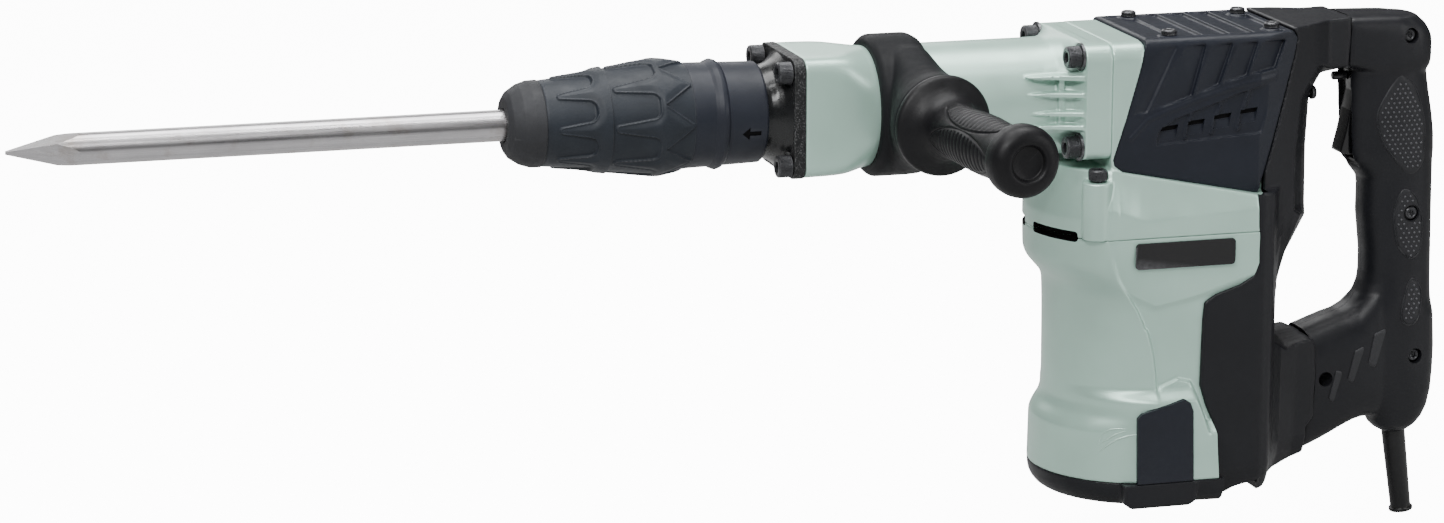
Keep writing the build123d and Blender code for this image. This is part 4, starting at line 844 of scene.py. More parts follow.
def bowed_loop(z, front_x, ridge_x, half, rear_x, flank=None, arc=40, side=16):
    """Housing section: bowed front between two ridges, flanks, flat back.

    flank(x, z) gives the half width of the flanks where it isn't constant."""
    center_x, radius = bow(front_x, ridge_x, half)
    reach = math.asin(half / radius)
    points = []
    for k in range(arc + 1):
        t = -reach + 2 * reach * k / arc
        points.append((center_x - radius * math.cos(t), radius * math.sin(t), z))
    right = []
    for k in range(1, side + 1):
        x = ridge_x + (rear_x - ridge_x) * k / side
        right.append((x, flank(x, z) if flank else half, z))
    return points + right + [(x, -y, z) for x, y, z in right[::-1]]


def shoulder(x, z):
    """Half width of the case flank: upright below the fold line, leaning in above it."""
    fold = interp(x, [(340, -58), (357, -61.5), (367.6, -67.0), (440, -63.0)])
    return CASE_HALF - max(0.0, z - fold) / (-38.0 - fold) * 7.2


def slot_tools(z0, z1, radius0, radius1):
    """Cutters for the air slots round the bowed front, about 4 mm deep."""
    tools = []
    for side in SIDES:
        a, b = sorted((side * 7.0, side * 42.0))
        tool = prism(fillet([(a, z0, radius0), (b, z0, radius0), (b, z1, radius1),
                             (a, z1, radius1)], 0.5), "x", 300, 346)
        cut(tool, loft([bowed_loop(z, 320.3, 349, 50.4, 441) for z in (-120, -20)]))
        tools.append(tool)
    return tools


def in_slots(low, high):
    return lambda x, y, z: (low < z < high and x < 347 and 6 < abs(y) < 43
                            and math.hypot(x - 382, y) < 65.2)


def parting_groove(side):
    """V groove between the bowed front and the flank."""
    loops = []
    for z in np.linspace(-78, -44, 8):
        x = 352.2 - 0.02 * (z + 44)
        half = shoulder(352, z)
        loops.append([(x - 0.9, side * (half + 1.0), z), (x + 0.9, side * (half + 1.0), z),
                      (x, side * (half - 0.7), z)])
    return loft(loops)


def gear_case():
    loops = []
    for z in SKIRT_LEVELS:
        k = max(0.0, (z + 66.0) / 28.0)
        loops.append(bowed_loop(z, 316 + 4.5 * k, 345.5 + 4 * k, shoulder(345.5, z), 446,
                                shoulder))
    skirt = loft(loops)
    upper = fillet([(-46, -40.5, 6), (46, -40.5, 6), (46, 36.8, 11.5), (-46, 36.8, 11.5)], 8, 8)
    case = unite(prism(upper, "x", 349.55, 440), skirt,
                 *cylinders("z", CASE_SCREWS, 8.6, -77, -43.2, 64))
    # seats for the vent cover and the rear shell, then the groove
    cover_seat = fillet(COVER_SIDE[:8] + [(470, -56), (470, 60), (376, 60)], 0.6)
    rear_seat = [(438.9, -40), *REAR_FRONT[:2], (480, -95.8), (480, -40)]
    for side in SIDES:
        cut(case, side_prism(cover_seat, side, 41.0, 60.0),
            side_prism(rear_seat, side, 50.4, 60.0), parting_groove(side))
    cut(case, block(369.2, 471, -60, 60, 34, 60))
    case = remesh(case, 0.75, 4)
    cut_apart(case, block(300, 470, -70, 70, -90, CASE_FLOOR),
              block(300, 349.55, -60, 60, -34, 60))
    # crank chamber, gear chamber, shaft bores and screw seats
    cut(case, block(343, 431, -40, 40, -24, 31))
    gear_room = loft([bowed_loop(z, 322, 349, 45, 441) for z in (-90, -37.5)])
    cut_apart(case, gear_room, cylinder("x", (0, 0), 22.9, 349, 372, 96),
              *cylinders("x", BARREL_SCREWS, 4.1, 340, 375, 32))
    cut_apart(case, cylinder("z", (MOTOR_X, 0), 20.1, -40, -20, 64),
              cylinder("z", (414, 0), 8.6, -40, -27.5),
              *cylinders("z", CASE_SCREWS, 6.3, -42.0, -30))
    cut_apart(case, *cylinders("z", CASE_SCREWS, 2.7, -76.5, -39, 24))
    cut_apart(case, *slot_tools(-90, -73.2, 0, 2.2))
    # faces inside the air slots get the near-black finish: painted shade in the slots
    second_faces(case, in_slots(-76.9, -72.8))
    piece(case, "gear_case", "housing", "green", (GREEN, PAINTED_SHADE), "crank_case", sharp=50)


# ------------------------------------------------------------ motor housing
# Front line and ridge line of the housing, (z, x)
FRONT_LINE = [(-77, 316), (-93, 316.3), (-97.5, 318.2), (-102.5, 322.6), (-107.5, 327.0),
              (-112, 328.4), (-128, 328.6), (-179, 328.8), (-184, 327.2), (-189, 323.6),
              (-193, 321.6), (-223, 321.0)]
RIDGE_LINE = [(-77, 345.5), (-88, 347.3), (-100, 351.2), (-106, 354.6), (-112, 359.0),
              (-120, 364.0), (-128, 367.6), (-136, 370.6), (-145, 373), (-155, 374.8),
              (-165, 375.6), (-177, 376), (-190, 375), (-223, 374)]
# Upper edge of the flare, and edge below which the flank is drawn in, (x, z)
FLARE_LINE = [(322, -186), (345, -186), (360, -178.5), (378, -170.5), (391, -165.5),
              (399, -167.5), (404, -178), (409, -192)]
DRAWN_LINE = [(345, -103.5), (352, -104), (365, -112), (376, -117.5), (400, -113),
              (420, -107), (440, -101)]
# Recess for the side panel, (x, z, corner radius)
PANEL = [(363.6, -232, 0), (362.75, -182.7, 3), (365.8, -179.85, 2), (392.5, -172.8, 3),
         (396.3, -175.3, 1.5), (398.2, -180.3, 2), (399.4, -232, 0)]
# Raised chevron beads on the foot of the flare: bead radius, then points (x, z)
CHEVRONS = [
    (0.5, [(346, -194.5), (348, -192.0), (350.5, -190.6), (354, -190.1), (358, -190.0)]),
    (0.5, [(346, -194.5), (345, -197.5), (344.2, -200.0)]),
    (0.55, [(345.0, -204.5), (348.5, -200.3), (353, -196.6), (358.5, -194.2), (364, -193.0)]),
    (0.5, [(344.2, -200.0), (349, -196.3), (353.0, -193.2), (358, -191.0)])]
HOUSING_LEVELS = [(-223, -219, 4), (-219, -196, 14), (-196, -160, 56), (-160, -122, 22),
                  (-122, -96, 36), (-96, -77.1, 12)]  # (from z, to z, count)


def soft(z, table, reach=1.6):
    """Table value averaged with its neighbours, to round its corners."""
    return (interp(z - reach, table) + 2 * interp(z, table) + interp(z + reach, table)) / 4


def flare(x, z):
    return float(smooth((interp(x, FLARE_LINE) + 4.5 - z) / 9.0))


def flank(x, z):
    """Half width of the flank: full at the top, drawn in below, out again at the side panel."""
    drawn = float(smooth((interp(x, DRAWN_LINE) + 3.5 - z) / 9.0))
    half = CASE_HALF - 3.0 * drawn
    return half + (CASE_HALF + FLARE - half) * flare(x, z)


def bow_at(z):
    """Front x, ridge x and half width of the housing's bowed front."""
    ridge_x = soft(z, RIDGE_LINE)
    return soft(z, FRONT_LINE), ridge_x, CASE_HALF + FLARE * flare(ridge_x, z)


def housing_loop(z):
    front_x, ridge_x, half = bow_at(z)
    step = float(smooth((-80 - z) / 10.0)) * (1 - flare(ridge_x, z))

    def stepped(x, z):
        return min(flank(x, z), half - step) if x > ridge_x + 1.2 else half

    return bowed_loop(z, front_x, ridge_x, half, 446, stepped, arc=64, side=64)


def bead(points, radius, side):
    """Thin raised bead along points of (x, z) laid on the bowed front."""
    path = []
    for x, z in points:
        center_x, bow_radius = bow(*bow_at(z))
        y = math.sqrt(max(0.0, bow_radius * bow_radius - (x - center_x) ** 2))
        path.append(Vector((x, side * y, z)))
    last = len(path) - 1
    loops = []
    for i, p in enumerate(path):
        along = (path[min(i + 1, last)] - path[max(i - 1, 0)]).normalized()
        outward = Vector((p.x - MOTOR_X, p.y, 0)).normalized()
        r = radius * (0.35 if i in (0, last) else 1.0)
        loops.append(ring(p, outward * 0.8, along.cross(outward).normalized(), [r] * 8))
    return loft(loops)


def motor_casing():
    levels = np.unique(np.concatenate([np.linspace(*span) for span in HOUSING_LEVELS]))
    house = remesh(loft([housing_loop(z) for z in levels]), 0.78, 1)
    cut_apart(house, block(300, 460, -80, 80, CASE_FLOOR - 0.08, -60),
              block(300, 460, -80, 80, -240, HOUSING_FOOT + 0.05))
    rear_seat = fillet(REAR_FRONT + [(415.4, -250, 0), (480, -250, 0), (480, -54.4, 0)], 3.0, 5)
    tools = []
    for side in SIDES:
        tools.append(side_prism(rear_seat, side, 50.4, 80.0))
        tools.append(side_prism(fillet(PANEL, 2.0), side, 59.2, 80.0))
    cut_apart(house, cylinder("z", (MOTOR_X, 0), 50.02, -240, -60, 160), *tools)
    cut_apart(house, *slot_tools(-79.4, -60, 2.2, 0))
    # faces inside the air slots get the near-black finish: painted shade in the slots
    second_faces(house, in_slots(-79.8, -77.1))
    beads = [bead(points, radius, side) for side in SIDES for radius, points in CHEVRONS]
    piece(join([house] + beads), "motor_casing", "housing", "green", (GREEN, PAINTED_SHADE),
          "motor_housing", sharp=50)


# ------------------------------------------------------------ foot cap
FOOT_LEVELS = [(-223.05, 0.1), (-226, 0.2), (-229.5, 0.8), (-232.5, 2.2), (-235.2, 4.4),
               (-237.2, 7.4), (-238.5, 11.5), (-239.0, 17)]  # (z, inset)
# Raised side of the cap below the panel, (x, z, corner radius)
FOOT_SIDE = [(355.5, -223.05, 0), (401.5, -223.05, 0), (401.2, -234.8, 2.0), (397, -237.6, 2.0),
             (360.5, -237.6, 2.0), (356.2, -234.5, 2.0)]
FOOT_HUB = [(11.05, -222.9), (11.05, -213.9), (13.9, -213.9), (14.0, -235),
            (11.05, -235)]  # (radius, z)


def inset_loop(outline, z, inset):
    loop = []
    for x, y, _ in outline:
        d = Vector((x - MOTOR_X, y))
        k = 1 - inset / d.length
        loop.append((MOTOR_X + d.x * k, d.y * k, z))
    return loop


def foot_cap():
    outline = housing_loop(-222.9)
    cap = loft([inset_loop(outline, z, inset) for z, inset in FOOT_LEVELS])
    for side in SIDES:
        unite(cap, side_prism(fillet(FOOT_SIDE, 1.5), side, 30, 62.3))
    cap = remesh(cap, 0.8, 3)
    cut(cap, block(300, 460, -80, 80, HOUSING_FOOT - 0.02, -200),
        cylinder("z", (MOTOR_X, 0), 49.9, -234, -200, 128))
    # hub and four arms inside
    hub = loft([[(x, y, z) for x, y in circle((MOTOR_X, 0), r, 96)] for r, z in FOOT_HUB],
               closed=True)
    arms = []
    for k in range(4):
        t = PI / 4 + k * PI / 2
        c, s = math.cos(t), math.sin(t)
        arm = [(13.6, -2), (49.2, -2), (49.2, 2), (13.6, 2)]
        arms.append(prism([(MOTOR_X + c * a - s * b, s * a + c * b) for a, b in arm],
                          "z", -234.4, -219))
    unite(cap, hub, *arms)
    cut(cap, block(418.8, 470, -100, 100, -245, -210))
    piece(cap, "foot_cap", "housing", "black_plastic", PLASTIC, "base_cap", sharp=50)


# ------------------------------------------------------------ vent cover
# Ribs on the flank between the sloped panels: top and foot, (x, z)
RIBS = [((391, 33.5), (372.7, -5.6)), ((408.4, 33.5), (400.4, 2.6)), ((425.2, 33.5), (417, 8.6)),
        ((440.8, 33.5), (434.3, 13.0)), ((459.6, 33.5), (453.0, 16.0))]
# Recess round the vents, (x, z)
VENT_RECESS = [(377.5, -24.1), (379.1, -15.9), (389.0, -9.4), (411, -2.2), (430.2, 4.3),
               (448.8, 9.4), (450.2, 4.0), (442.9, -20.3), (410.4, -22.0)]
# Raised line above the vents, (x, z)
VENT_LINE = [(361.5, -19.5), (372.1, -8.6), (385, -4.0), (405.3, 2.4), (423.9, 7.6),
             (441.9, 11.0), (452.4, 12.4)]
# Bars between the vents: foot and top, (x, z)
VENT_BARS = [((395.2, -21.5), (399.2, -6.5)), ((411.5, -19.5), (417.4, -1.0)),
             ((428.0, -18.0), (434.6, 4.6))]
VENTS = [(385.2, -17.0), (401.7, -14.5), (418.2, -11.8), (434.6, -9.4)]  # centres, (x, z)
VENT_HALF = 5.4


def half_at(x):
    """Half width of the cover, drawing in towards the back."""
    return 45.0 - max(0.0, x - 442.0) * 8.0 / 28.0


def sloped_panel(quad, depths, side):
    return side_block(quad, [side * (half_at(p[0]) - d) for p, d in zip(quad, depths)],
                      [side * 52] * 4)


def line_segment(p, q, side):
    along = Vector((q[0] - p[0], q[1] - p[1])).normalized()
    quad = [(end[0] - s * along.y * 0.9 + t * along.x * 0.4,
             end[1] + s * along.x * 0.9 + t * along.y * 0.4)
            for end, s, t in ((p, -1, -1), (q, -1, 1), (q, 1, 1), (p, 1, -1))]
    return side_block(quad, [side * 42.0] * 4, [side * (half_at(x) + 0.55) for x, z in quad])


def vent_cover():
    body = prism(fillet(COVER_SIDE, 2.0, 4), "y", -45.2, 45.2)
    plan = [(340, -45), (372, -45), (442, -45), (470, -37), (470, 37), (442, 45), (372, 45),
            (340, 45)]
    section = fillet([(-45, -70, 0), (45, -70, 0), (45, 10, 0), (44.2, 38.3, 7.0),
                      (-44.2, 38.3, 7.0), (-45, 10, 0)], 7.0, 8)
    meet(body, prism(plan, "z", -70, 60), prism(section, "x", 340, 480))
    for side in SIDES:
        for (left_top, left_foot), (right_top, right_foot) in zip(RIBS, RIBS[1:]):
            quad = [(left_foot[0] + 0.6, left_foot[1] + 1.6),
                    (right_foot[0] - 0.9, right_foot[1] + 1.0),
                    (right_top[0] - 0.9, right_top[1]), (left_top[0] + 0.6, left_top[1])]
            cut(body, sloped_panel(quad, (0.2, 2.9, 2.9, 0.2), side))
        # front panel leans in towards the first rib
        quad = [(361.5, -6.0), (371.4, -4.6), (389.6, 33.5), (372.5, 33.5)]
        cut(body, side_block(quad, [side * (45 - d) for d in (-0.2, 1.5, 1.5, -0.2)],
                             [side * 52] * 4))
        cut(body, side_prism(fillet(VENT_RECESS, 1.6, 3), side, 43.4, 50))
    for side in SIDES:
        for p, q in zip(VENT_LINE, VENT_LINE[1:]):
            unite(body, line_segment(p, q, side))
        for (foot_x, foot_z), (top_x, top_z) in VENT_BARS:
            quad = [(foot_x - 0.9, foot_z), (foot_x + 0.9, foot_z), (top_x + 0.9, top_z),
                    (top_x - 0.9, top_z)]
            unite(body, side_block(quad, [side * 41.5] * 4,
                                   [side * (half_at(x) - 0.35) for x, z in quad]))
    # roof steps, in line with the ribs
    tops = [top[0] for top, foot in RIBS]
    for a, b in zip(tops, tops[1:]):
        lo, hi = a + 0.8, b - 0.7
        half = half_at(a) - 8.5
        cut(body, loft([[(lo, y, 37.9), (hi, y, 36.4), (hi, y, 45), (lo, y, 45)]
                        for y in (-half, half)]))
    cut(body, loft([[(372, y, 38.4), (389.8, y, 37.1), (389.8, y, 45), (372, y, 45)]
                    for y in (-38, 38)]))
    unite(body, *cylinders("z", ROOF_SCREWS, 6.0, 30, 38.3))
    body = remesh(body, 0.62, 1)
    # each vent is a ledge that leans in, with a slot above it
    ledges, slots = [], []
    w = VENT_HALF
    for side in SIDES:
        for x, z in VENTS:
            quad = [(x - w - 0.4, z - 5.0), (x + w - 0.6, z - 4.0), (x + w + 0.4, z + 1.6),
                    (x - w + 0.6, z + 0.6)]
            ledges.append(side_block(quad, [side * y for y in (43.3, 43.3, 41.8, 41.8)],
                                     [side * 50] * 4))
            quad = [(x - w + 0.4, z + 0.4), (x + w + 0.3, z + 1.4), (x + w + 0.9, z + 4.4),
                    (x - w + 1.0, z + 3.4)]
            slots.append(side_block(quad, [side * 41.6] * 4, [side * 50] * 4))
    cut_apart(body, *ledges)
    cut_apart(body, *slots)
    # hollow inside
    cut(body, block(333.8, 446.2, -41.05, 41.05, -58.1, 34.1),
        block(418, 462, -38, 38, -70, 30))
    # the backs of the vent slots get the near-black finish: painted shade behind the slots
    second_faces(body, lambda x, y, z: 41.45 < abs(y) < 41.78 and -22 < z < -4.5
                 and 378 < x < 442)
    piece(body, "vent_cover", "housing", "black_plastic", (COVER, PAINTED_SHADE), "upper_cover",
          sharp=42)


def roof_screws():
    screws = [cap_screw((x, y, 38.4), (0, 0, 1), head_r=4.5, head_h=3.3, socket_r=2.1,
                        shank_r=1.8, shank=0.5, knurls=24, socket=2.0) for x, y in ROOF_SCREWS]
    piece(join(screws), "roof_screws", "housing", "black_bolt", BOLT, "cover_screws", sharp=30)


# ------------------------------------------------------------ rear shell
# Side outline, (x, z, corner radius)
REAR_SIDE = [
    (464.5, 39.6, 1), (467.9, 33.6, 1), (466.3, 24.8, 0), (458.9, -1.5, 0), (450.4, -30.8, 0),
    (442.4, -54.4, 0.5), *((x, z, 3.0) for x, z in REAR_FRONT), (417.8, -234.6, 2),
    (430, -237, 4), (448, -236.4, 6), (459, -233.6, 8), (486.4, -223.6, 1), (486.6, -216.7, 0),
    (486.5, -206.8, 3), (491.3, -201.5, 3), (492.4, -174.9, 0), (491.1, -156.3, 2),
    (486.8, -148.9, 2), (474.7, -150.5, 7), (467.3, -143.8, 5), (466.4, -132.6, 5),
    (470.4, -117.4, 4), (490.6, -80, 5), (490.9, -70.2, 3), (490.4, -35.9, 0), (491.3, -5.6, 4),
    (496.2, 2.6, 5), (507.1, 6.8, 1), (507.6, 13, 0), (508.4, 24.4, 0), (509.4, 41.0, 1)]
# Half plan low down and high up, (x, half width)
PLAN_LOW = [(390, 54), (444, 54), (450, 51.6), (453.4, 46.5), (458, 38.5), (466, 30),
            (478, 24.4), (494, 22.2), (512, 21.2)]
PLAN_HIGH = [(390, 54), (443, 46.4), (450, 43.6), (457, 41.0), (464, 38.2), (472, 34.6),
             (483, 29.4), (494, 22.6), (512, 21.2)]
# How far the underside draws in, (z, inset)
ROUND_BACK = [(-245, 12.0), (-232, 9.0), (-226, 5.6), (-220, 2.4), (-212, 0.0)]
ROUND_FLANK = [(-245, 14.0), (-237, 9.0), (-232, 5.0), (-226, 2.0), (-220, 0.0)]
PLAN_LEVELS = (-245, -238, -232, -226, -220, -216, -212, -112, -104, -96, -88, -80, -72, -64,
               -58, -54.6, -54.4, -52, 60)
PLAN_STEP = -54.5  # height where the shell narrows beside the vent cover
# Edge of the hand opening, (x, z, share of the full rounding)
HAND_EDGE = [(507.1, 7.6, 0.35), (496.2, 3.8, 0.8), (491.3, -5.6, 0.9), (490.4, -35.9, 1.0),
             (490.9, -70.2, 1.0), (490.9, -80, 1.0), (471.2, -116.4, 1.0), (465.0, -131.0, 1.0),
             (464.4, -143.2, 1.0), (472.2, -151.6, 0.6), (486.8, -150.6, 0.25)]
# Growth of the opening towards the flanks, (y, growth at the top, growth at the bottom)
HAND_GROWTH = [(0, 1.2, 1.2), (4, 2.1, 2.1), (8, 3.4, 3.4), (12, 5.1, 4.6), (16, 7.6, 6.0),
               (20, 11.0, 7.2), (24, 15.0, 8.2), (28, 19.0, 9.0), (40, 23.0, 9.5)]
# Inside of the shell, (x, z)
REAR_ROOM = [(400, 30), (400, -231), (428, -233), (452, -232), (482, -223), (487, -190),
             (487, -160), (483, -153.5), (472.5, -153.5), (463.0, -145.5), (461.9, -131.6),
             (466.1, -115.6), (486.1, -79), (486.2, -62), (486.4, -5), (492, 10), (503, 14),
             (504, 30)]


def rear_plan(z, inset):
    """Half plan at a height, easing from the low form to the high form."""
    ease = float(smooth((z + 112) / 60.0))
    points = []
    for i, ((low_x, low_y), (high_x, high_y)) in enumerate(zip(PLAN_LOW, PLAN_HIGH)):
        k = ease
        if i < 3 and z <= PLAN_STEP:
            k = 0.0
        elif i < 2:
            k = 1.0
        y = low_y + (high_y - low_y) * k
        if i > 3:
            y -= interp(z, ROUND_BACK)
        elif i > 0:
            y -= interp(z, ROUND_FLANK)
        points.append((low_x + (high_x - low_x) * k, max(1.0, y - inset)))
    return points


def rear_form(bottom, top, inset, radius):
    loops = []
    for z in [bottom] + [z for z in PLAN_LEVELS if bottom < z < top] + [top]:
        plan = rear_plan(z, inset)
        outline = fillet([(x, -y) for x, y in plan] + plan[::-1], radius, 4, even=True)
        loops.append([(x, y, z) for x, y in outline])
    return loft(loops)


def hand_opening(extra):
    """Cutter that rounds the shell over round the hand opening."""
    line = [Vector(p[:2]) for p in HAND_EDGE]
    normals = []
    for i in range(len(line)):
        d = (line[min(i + 1, len(line) - 1)] - line[max(i - 1, 0)]).normalized()
        normals.append(Vector((d.y, -d.x)))
    mirrored = [(-y, upper, lower) for y, upper, lower in HAND_GROWTH[:0:-1]]
    loops = []
    for y, upper, lower in mirrored + HAND_GROWTH:
        loop = []
        for i, (p, n) in enumerate(zip(line, normals)):
            k = interp(i, [(4, 0.0), (7, 1.0)])
            growth = ((upper + extra) * (1 - k) + (lower + extra) * k) * HAND_EDGE[i][2]
            loop.append((p.x + n.x * growth, y, p.y + n.y * growth))
        loops.append(loop + [(540, y, loop[-1][2] - 0.01), (540, y, loop[0][2] + 0.01)])
    return loft(loops)


def rear_shell():
    rear = prism(fillet(REAR_SIDE, 2.0, 5), "y", -60, 60)
    section = fillet([(-60, -270, 0), (60, -270, 0), (60, 12, 0), (37.0, 41.2, 7),
                      (-37.0, 41.2, 7), (-60, 12, 0)], 6, 8)
    meet(rear, rear_form(-260, 62, inset=0.0, radius=6.0), prism(section, "x", 395, 515))
    cut(rear, hand_opening(0.0))
    rear = remesh(rear, 0.85, 4)
    room = prism(fillet(REAR_ROOM, 2), "y", -60, 60)
    meet(room, rear_form(-249, 33, inset=3.6, radius=4.0))
    cut(room, hand_opening(3.2))
    # hollow it, then clear the motor housing, foot cap and vent cover
    cut(rear, room, block(390, 446.3, -50.5, 50.5, -260, 40),
        cylinder("z", (MOTOR_X, 0), 62.15, -250, -222.9, 160),
        prism(fillet([(x + 0.15, z) for x, z in COVER_SIDE], 1.5), "y", -60, 60))
    piece(rear, "rear_shell", "housing", "black_plastic", PLASTIC, "rear_cover", sharp=50)


def shell_screws():
    size = dict(head_r=4.2, socket_r=2.0, shank_r=1.8, knurls=24, socket=2.0)
    screws = [cap_screw((487.3, y, -4.5), (1, 0, 0), head_h=3.1, shank=4.0, **size)
              for y in (12, -12)]
    screws += [cap_screw((463.8, y, -120), (1, 0, 0), head_h=3.2, shank=4.4, **size)
               for y in (15, -15)]
    piece(join(screws), "shell_screws", "housing", "black_bolt", BOLT, "rear_cover_screws",
          sharp=30)


# ------------------------------------------------------------ handle
# Upright grip, (z, front x, back x, half width)
COLUMN = [(38.6, 532, 557, 15.5), (35, 530, 561, 17.2), (28, 524, 564.2, 18.4),
          (20, 516, 565.2, 19), (13, 513, 565.2, 19), (7, 512, 565.0, 19), (0, 512, 565.8, 18.8),
          (-10, 512.5, 567.6, 18.5), (-22, 513, 570, 18.2), (-34, 513.5, 571.6, 18),
          (-40, 513.7, 571.8, 18), (-44, 514.2, 572, 18), (-48, 515.6, 571.6, 17.8),
          (-52, 518.8, 571.6, 17.5), (-56, 522.6, 571.6, 17.2), (-60, 525.6, 571.6, 17),
          (-66, 526.2, 571.7, 17), (-82, 526.2, 571.9, 17), (-90, 527.2, 572.1, 17),
          (-105, 529, 572.3, 17), (-118, 529.2, 572.5, 17), (-124, 528.6, 572.6, 17.4),
          (-130, 526.5, 572.8, 18), (-136, 522.5, 573.4, 18.6), (-145, 514, 574.8, 19),
          (-165, 512, 576.0, 19), (-180, 520, 575.6, 19), (-192, 528, 574.6, 18.5),
          (-202, 533, 572.6, 17.2), (-209, 537, 569.5, 15.5), (-214, 539, 565.5, 13.5),
          (-217, 542, 561.5, 11), (-219, 546, 558.5, 8)]
# Arms from the rear shell to the grip, (x, top z, bottom z, half width)
LOWER_ARM = [(487.2, -150.0, -224.6, 21), (492, -148.6, -223, 21.2), (500, -145.8, -219.6, 21.2),
             (508, -143.0, -215.8, 21), (515, -141.2, -212.2, 21), (522, -137.4, -209.2, 20.8),
             (528, -131.4, -207.8, 20.4), (534, -124.8, -207.6, 19.8), (540, -119, -208.0, 18.6),
             (552, -116, -206, 17.5), (562, -118, -200, 16.5), (568, -122, -196, 14)]
UPPER_ARM = [(508.4, 41.0, 8.6, 21), (513, 41.0, 8.4, 21), (520, 40.8, 6.0, 21),
             (532, 40.5, 2, 20.8), (542, 40.1, 0, 20.4), (550, 39.4, 0, 19.8), (556, 38.0, 0, 18.8),
             (560.5, 35.4, 2, 17.2), (563.8, 30.4, 6, 15)]
# Seams against the rear shell, (x, z)
LOWER_SEAM = [(470, -100), (470, -240), (486.95, -240), (486.95, -206.7), (491.7, -201.4),
              (492.85, -174.9), (491.5, -156.2), (488.2, -148.8), (487.5, -140), (486.0, -100)]
UPPER_SEAM = [(480, 60), (509.95, 60), (509.9, 41.2), (508.8, 24.4), (507.95, 13), (508.1, 0),
              (480, 0)]
CORD_DIRECTION = Vector((7.4, 0, -53.3)).normalized()
CORD_START = Vector((554.1, 0, -217.6))
GRIP_SCREWS = [(548.3, 27.6, 18.6), (553.5, -80.9, 18.6), (558.7, -169.2, 17.5)]  # (x, z, half)
SCREW_SEAT = 5.0  # depth of a screw seat below the flank

# Dotted pads: outline (x, z), and the screw hole through the pad
PADS = [
    ([(540.3, 3), (528.8, -16.4), (530.5, -32), (537.6, -44.2), (551.1, -57.2), (560, -51.6),
      (561.5, -38), (560.9, -24.2), (554.3, -5.6), (547.5, 1.5)], None),
    ([(546.9, -66.1), (541.6, -81.1), (544.3, -99.7), (550, -107), (554.5, -109.5),
      (560.8, -103.8), (562.0, -86), (556, -70)], GRIP_SCREWS[1][:2]),
    ([(554.9, -120.7), (548.9, -133.9), (548.1, -146.2), (554.8, -150.4), (561.1, -144),
      (562.4, -128.6)], None)]
PAD_HEIGHT = 0.65
DOT_PITCH, DOT_RADIUS = 3.5, 0.74
# Slanted bars on the lower arm, (x, z)
BARS = [[(506.0, -173.3), (510.4, -174.9), (504.6, -194.4), (501.4, -191.6)],
        [(517.9, -162.5), (524.9, -159.3), (517.3, -182.9), (513.3, -180.8)],
        [(530.6, -152.9), (539.6, -149.8), (532, -174.7), (526.7, -171.8)]]


def column_loop(z, front, back, half):
    outline = superellipse((back - front) / 2, half, 2.5 if z > -140 else 3.0)
    return [((front + back) / 2 + u, v, z) for u, v in outline]


def arm_loop(x, top, bottom, half, power):
    outline = superellipse(half, (top - bottom) / 2, power)
    return [(x, u, (top + bottom) / 2 + v) for u, v in outline]


def handle_body():
    handle = unite(loft([column_loop(*station) for station in COLUMN]),
                   loft([arm_loop(*station, 3.5) for station in LOWER_ARM]),
                   loft([arm_loop(*station, 4.6 if station[0] < 545 else 3.2)
                         for station in UPPER_ARM]))
    # seat for the trigger
    cut(handle, prism(fillet([(500, 9), (524, 8), (527, -20), (523, -52), (500, -60)], 3),
                      "y", -9.2, 9.2))
    unite(handle, prism(fillet([(519, 8), (546, 8), (546, -50), (520, -50)], 2), "y", -12, 12))
    handle = remesh(handle, 0.85, 9)
    cut(handle, prism(LOWER_SEAM, "y", -60, 60), prism(UPPER_SEAM, "y", -60, 60))
    # trigger pocket, hollow inside, cord outlet, cross hole in the lower arm
    across = Vector((0, 1, 0))
    up = CORD_DIRECTION.cross(across)
    cut(handle, block(520.5, 545.8, -7.7, 7.7, -49, 8.2), block(505, 522, -7.7, 7.7, -60, 8.2),
        prism(fillet([(537, 20), (559, 20), (559, -160), (537, -160)], 3), "y", -11, 11),
        loft([ring(CORD_START + CORD_DIRECTION * a, across, up, [7.45] * 64)
              for a in (-62, 12)]),
        cylinder("y", (499.4, -178.9), 4.5, -40, 40))
    cut_apart(handle, *[side_prism(circle((x, z), 4.7), side, half - SCREW_SEAT, half + 8)
                        for x, z, half in GRIP_SCREWS for side in SIDES])
    cut_apart(handle, *cylinders("y", [(x, z) for x, z, half in GRIP_SCREWS], 2.15, -25, 25, 24))
    return handle


def surface(tree, x, z, side):
    """Point and normal where a ray from the side meets the handle, or a stand-in on a miss."""
    hit, normal, _, _ = tree.ray_cast(Vector((x, side * 60, z)), Vector((0, -side, 0)))
    return (hit, normal) if hit else (Vector((x, side * 17, z)), Vector((0, side, 0)))


def edges_of(poly):
    return zip(poly, poly[1:] + poly[:1])


def in_poly(x, z, poly):
    inside = False
    for (x1, z1), (x2, z2) in edges_of(poly):
        if (z1 > z) != (z2 > z) and x < (x2 - x1) * (z - z1) / (z2 - z1) + x1:
            inside = not inside
    return inside


def edge_gap(x, z, poly):
    p, gaps = Vector((x, z)), []
    for a, b in edges_of(poly):
        a, b = Vector(a), Vector(b)
        t = max(0, min(1, (p - a).dot(b - a) / max(1e-9, (b - a).length_squared)))
        gaps.append((p - (a + (b - a) * t)).length)
    return min(gaps)


def curve_through(points, count=120):
    """Smooth closed curve through the points."""
    out, n = [], len(points)
    for i in range(n):
        p0, p1, p2, p3 = (Vector(points[(i + k - 1) % n]) for k in range(4))
        for k in range(count // n):
            t = k * n / count
            out.append(tuple(0.5 * ((2 * p1) + (p2 - p0) * t
                                    + (2 * p0 - 5 * p1 + 4 * p2 - p3) * t * t
                                    + (3 * p1 - p0 - 3 * p2 + p3) * t ** 3)))
    return out


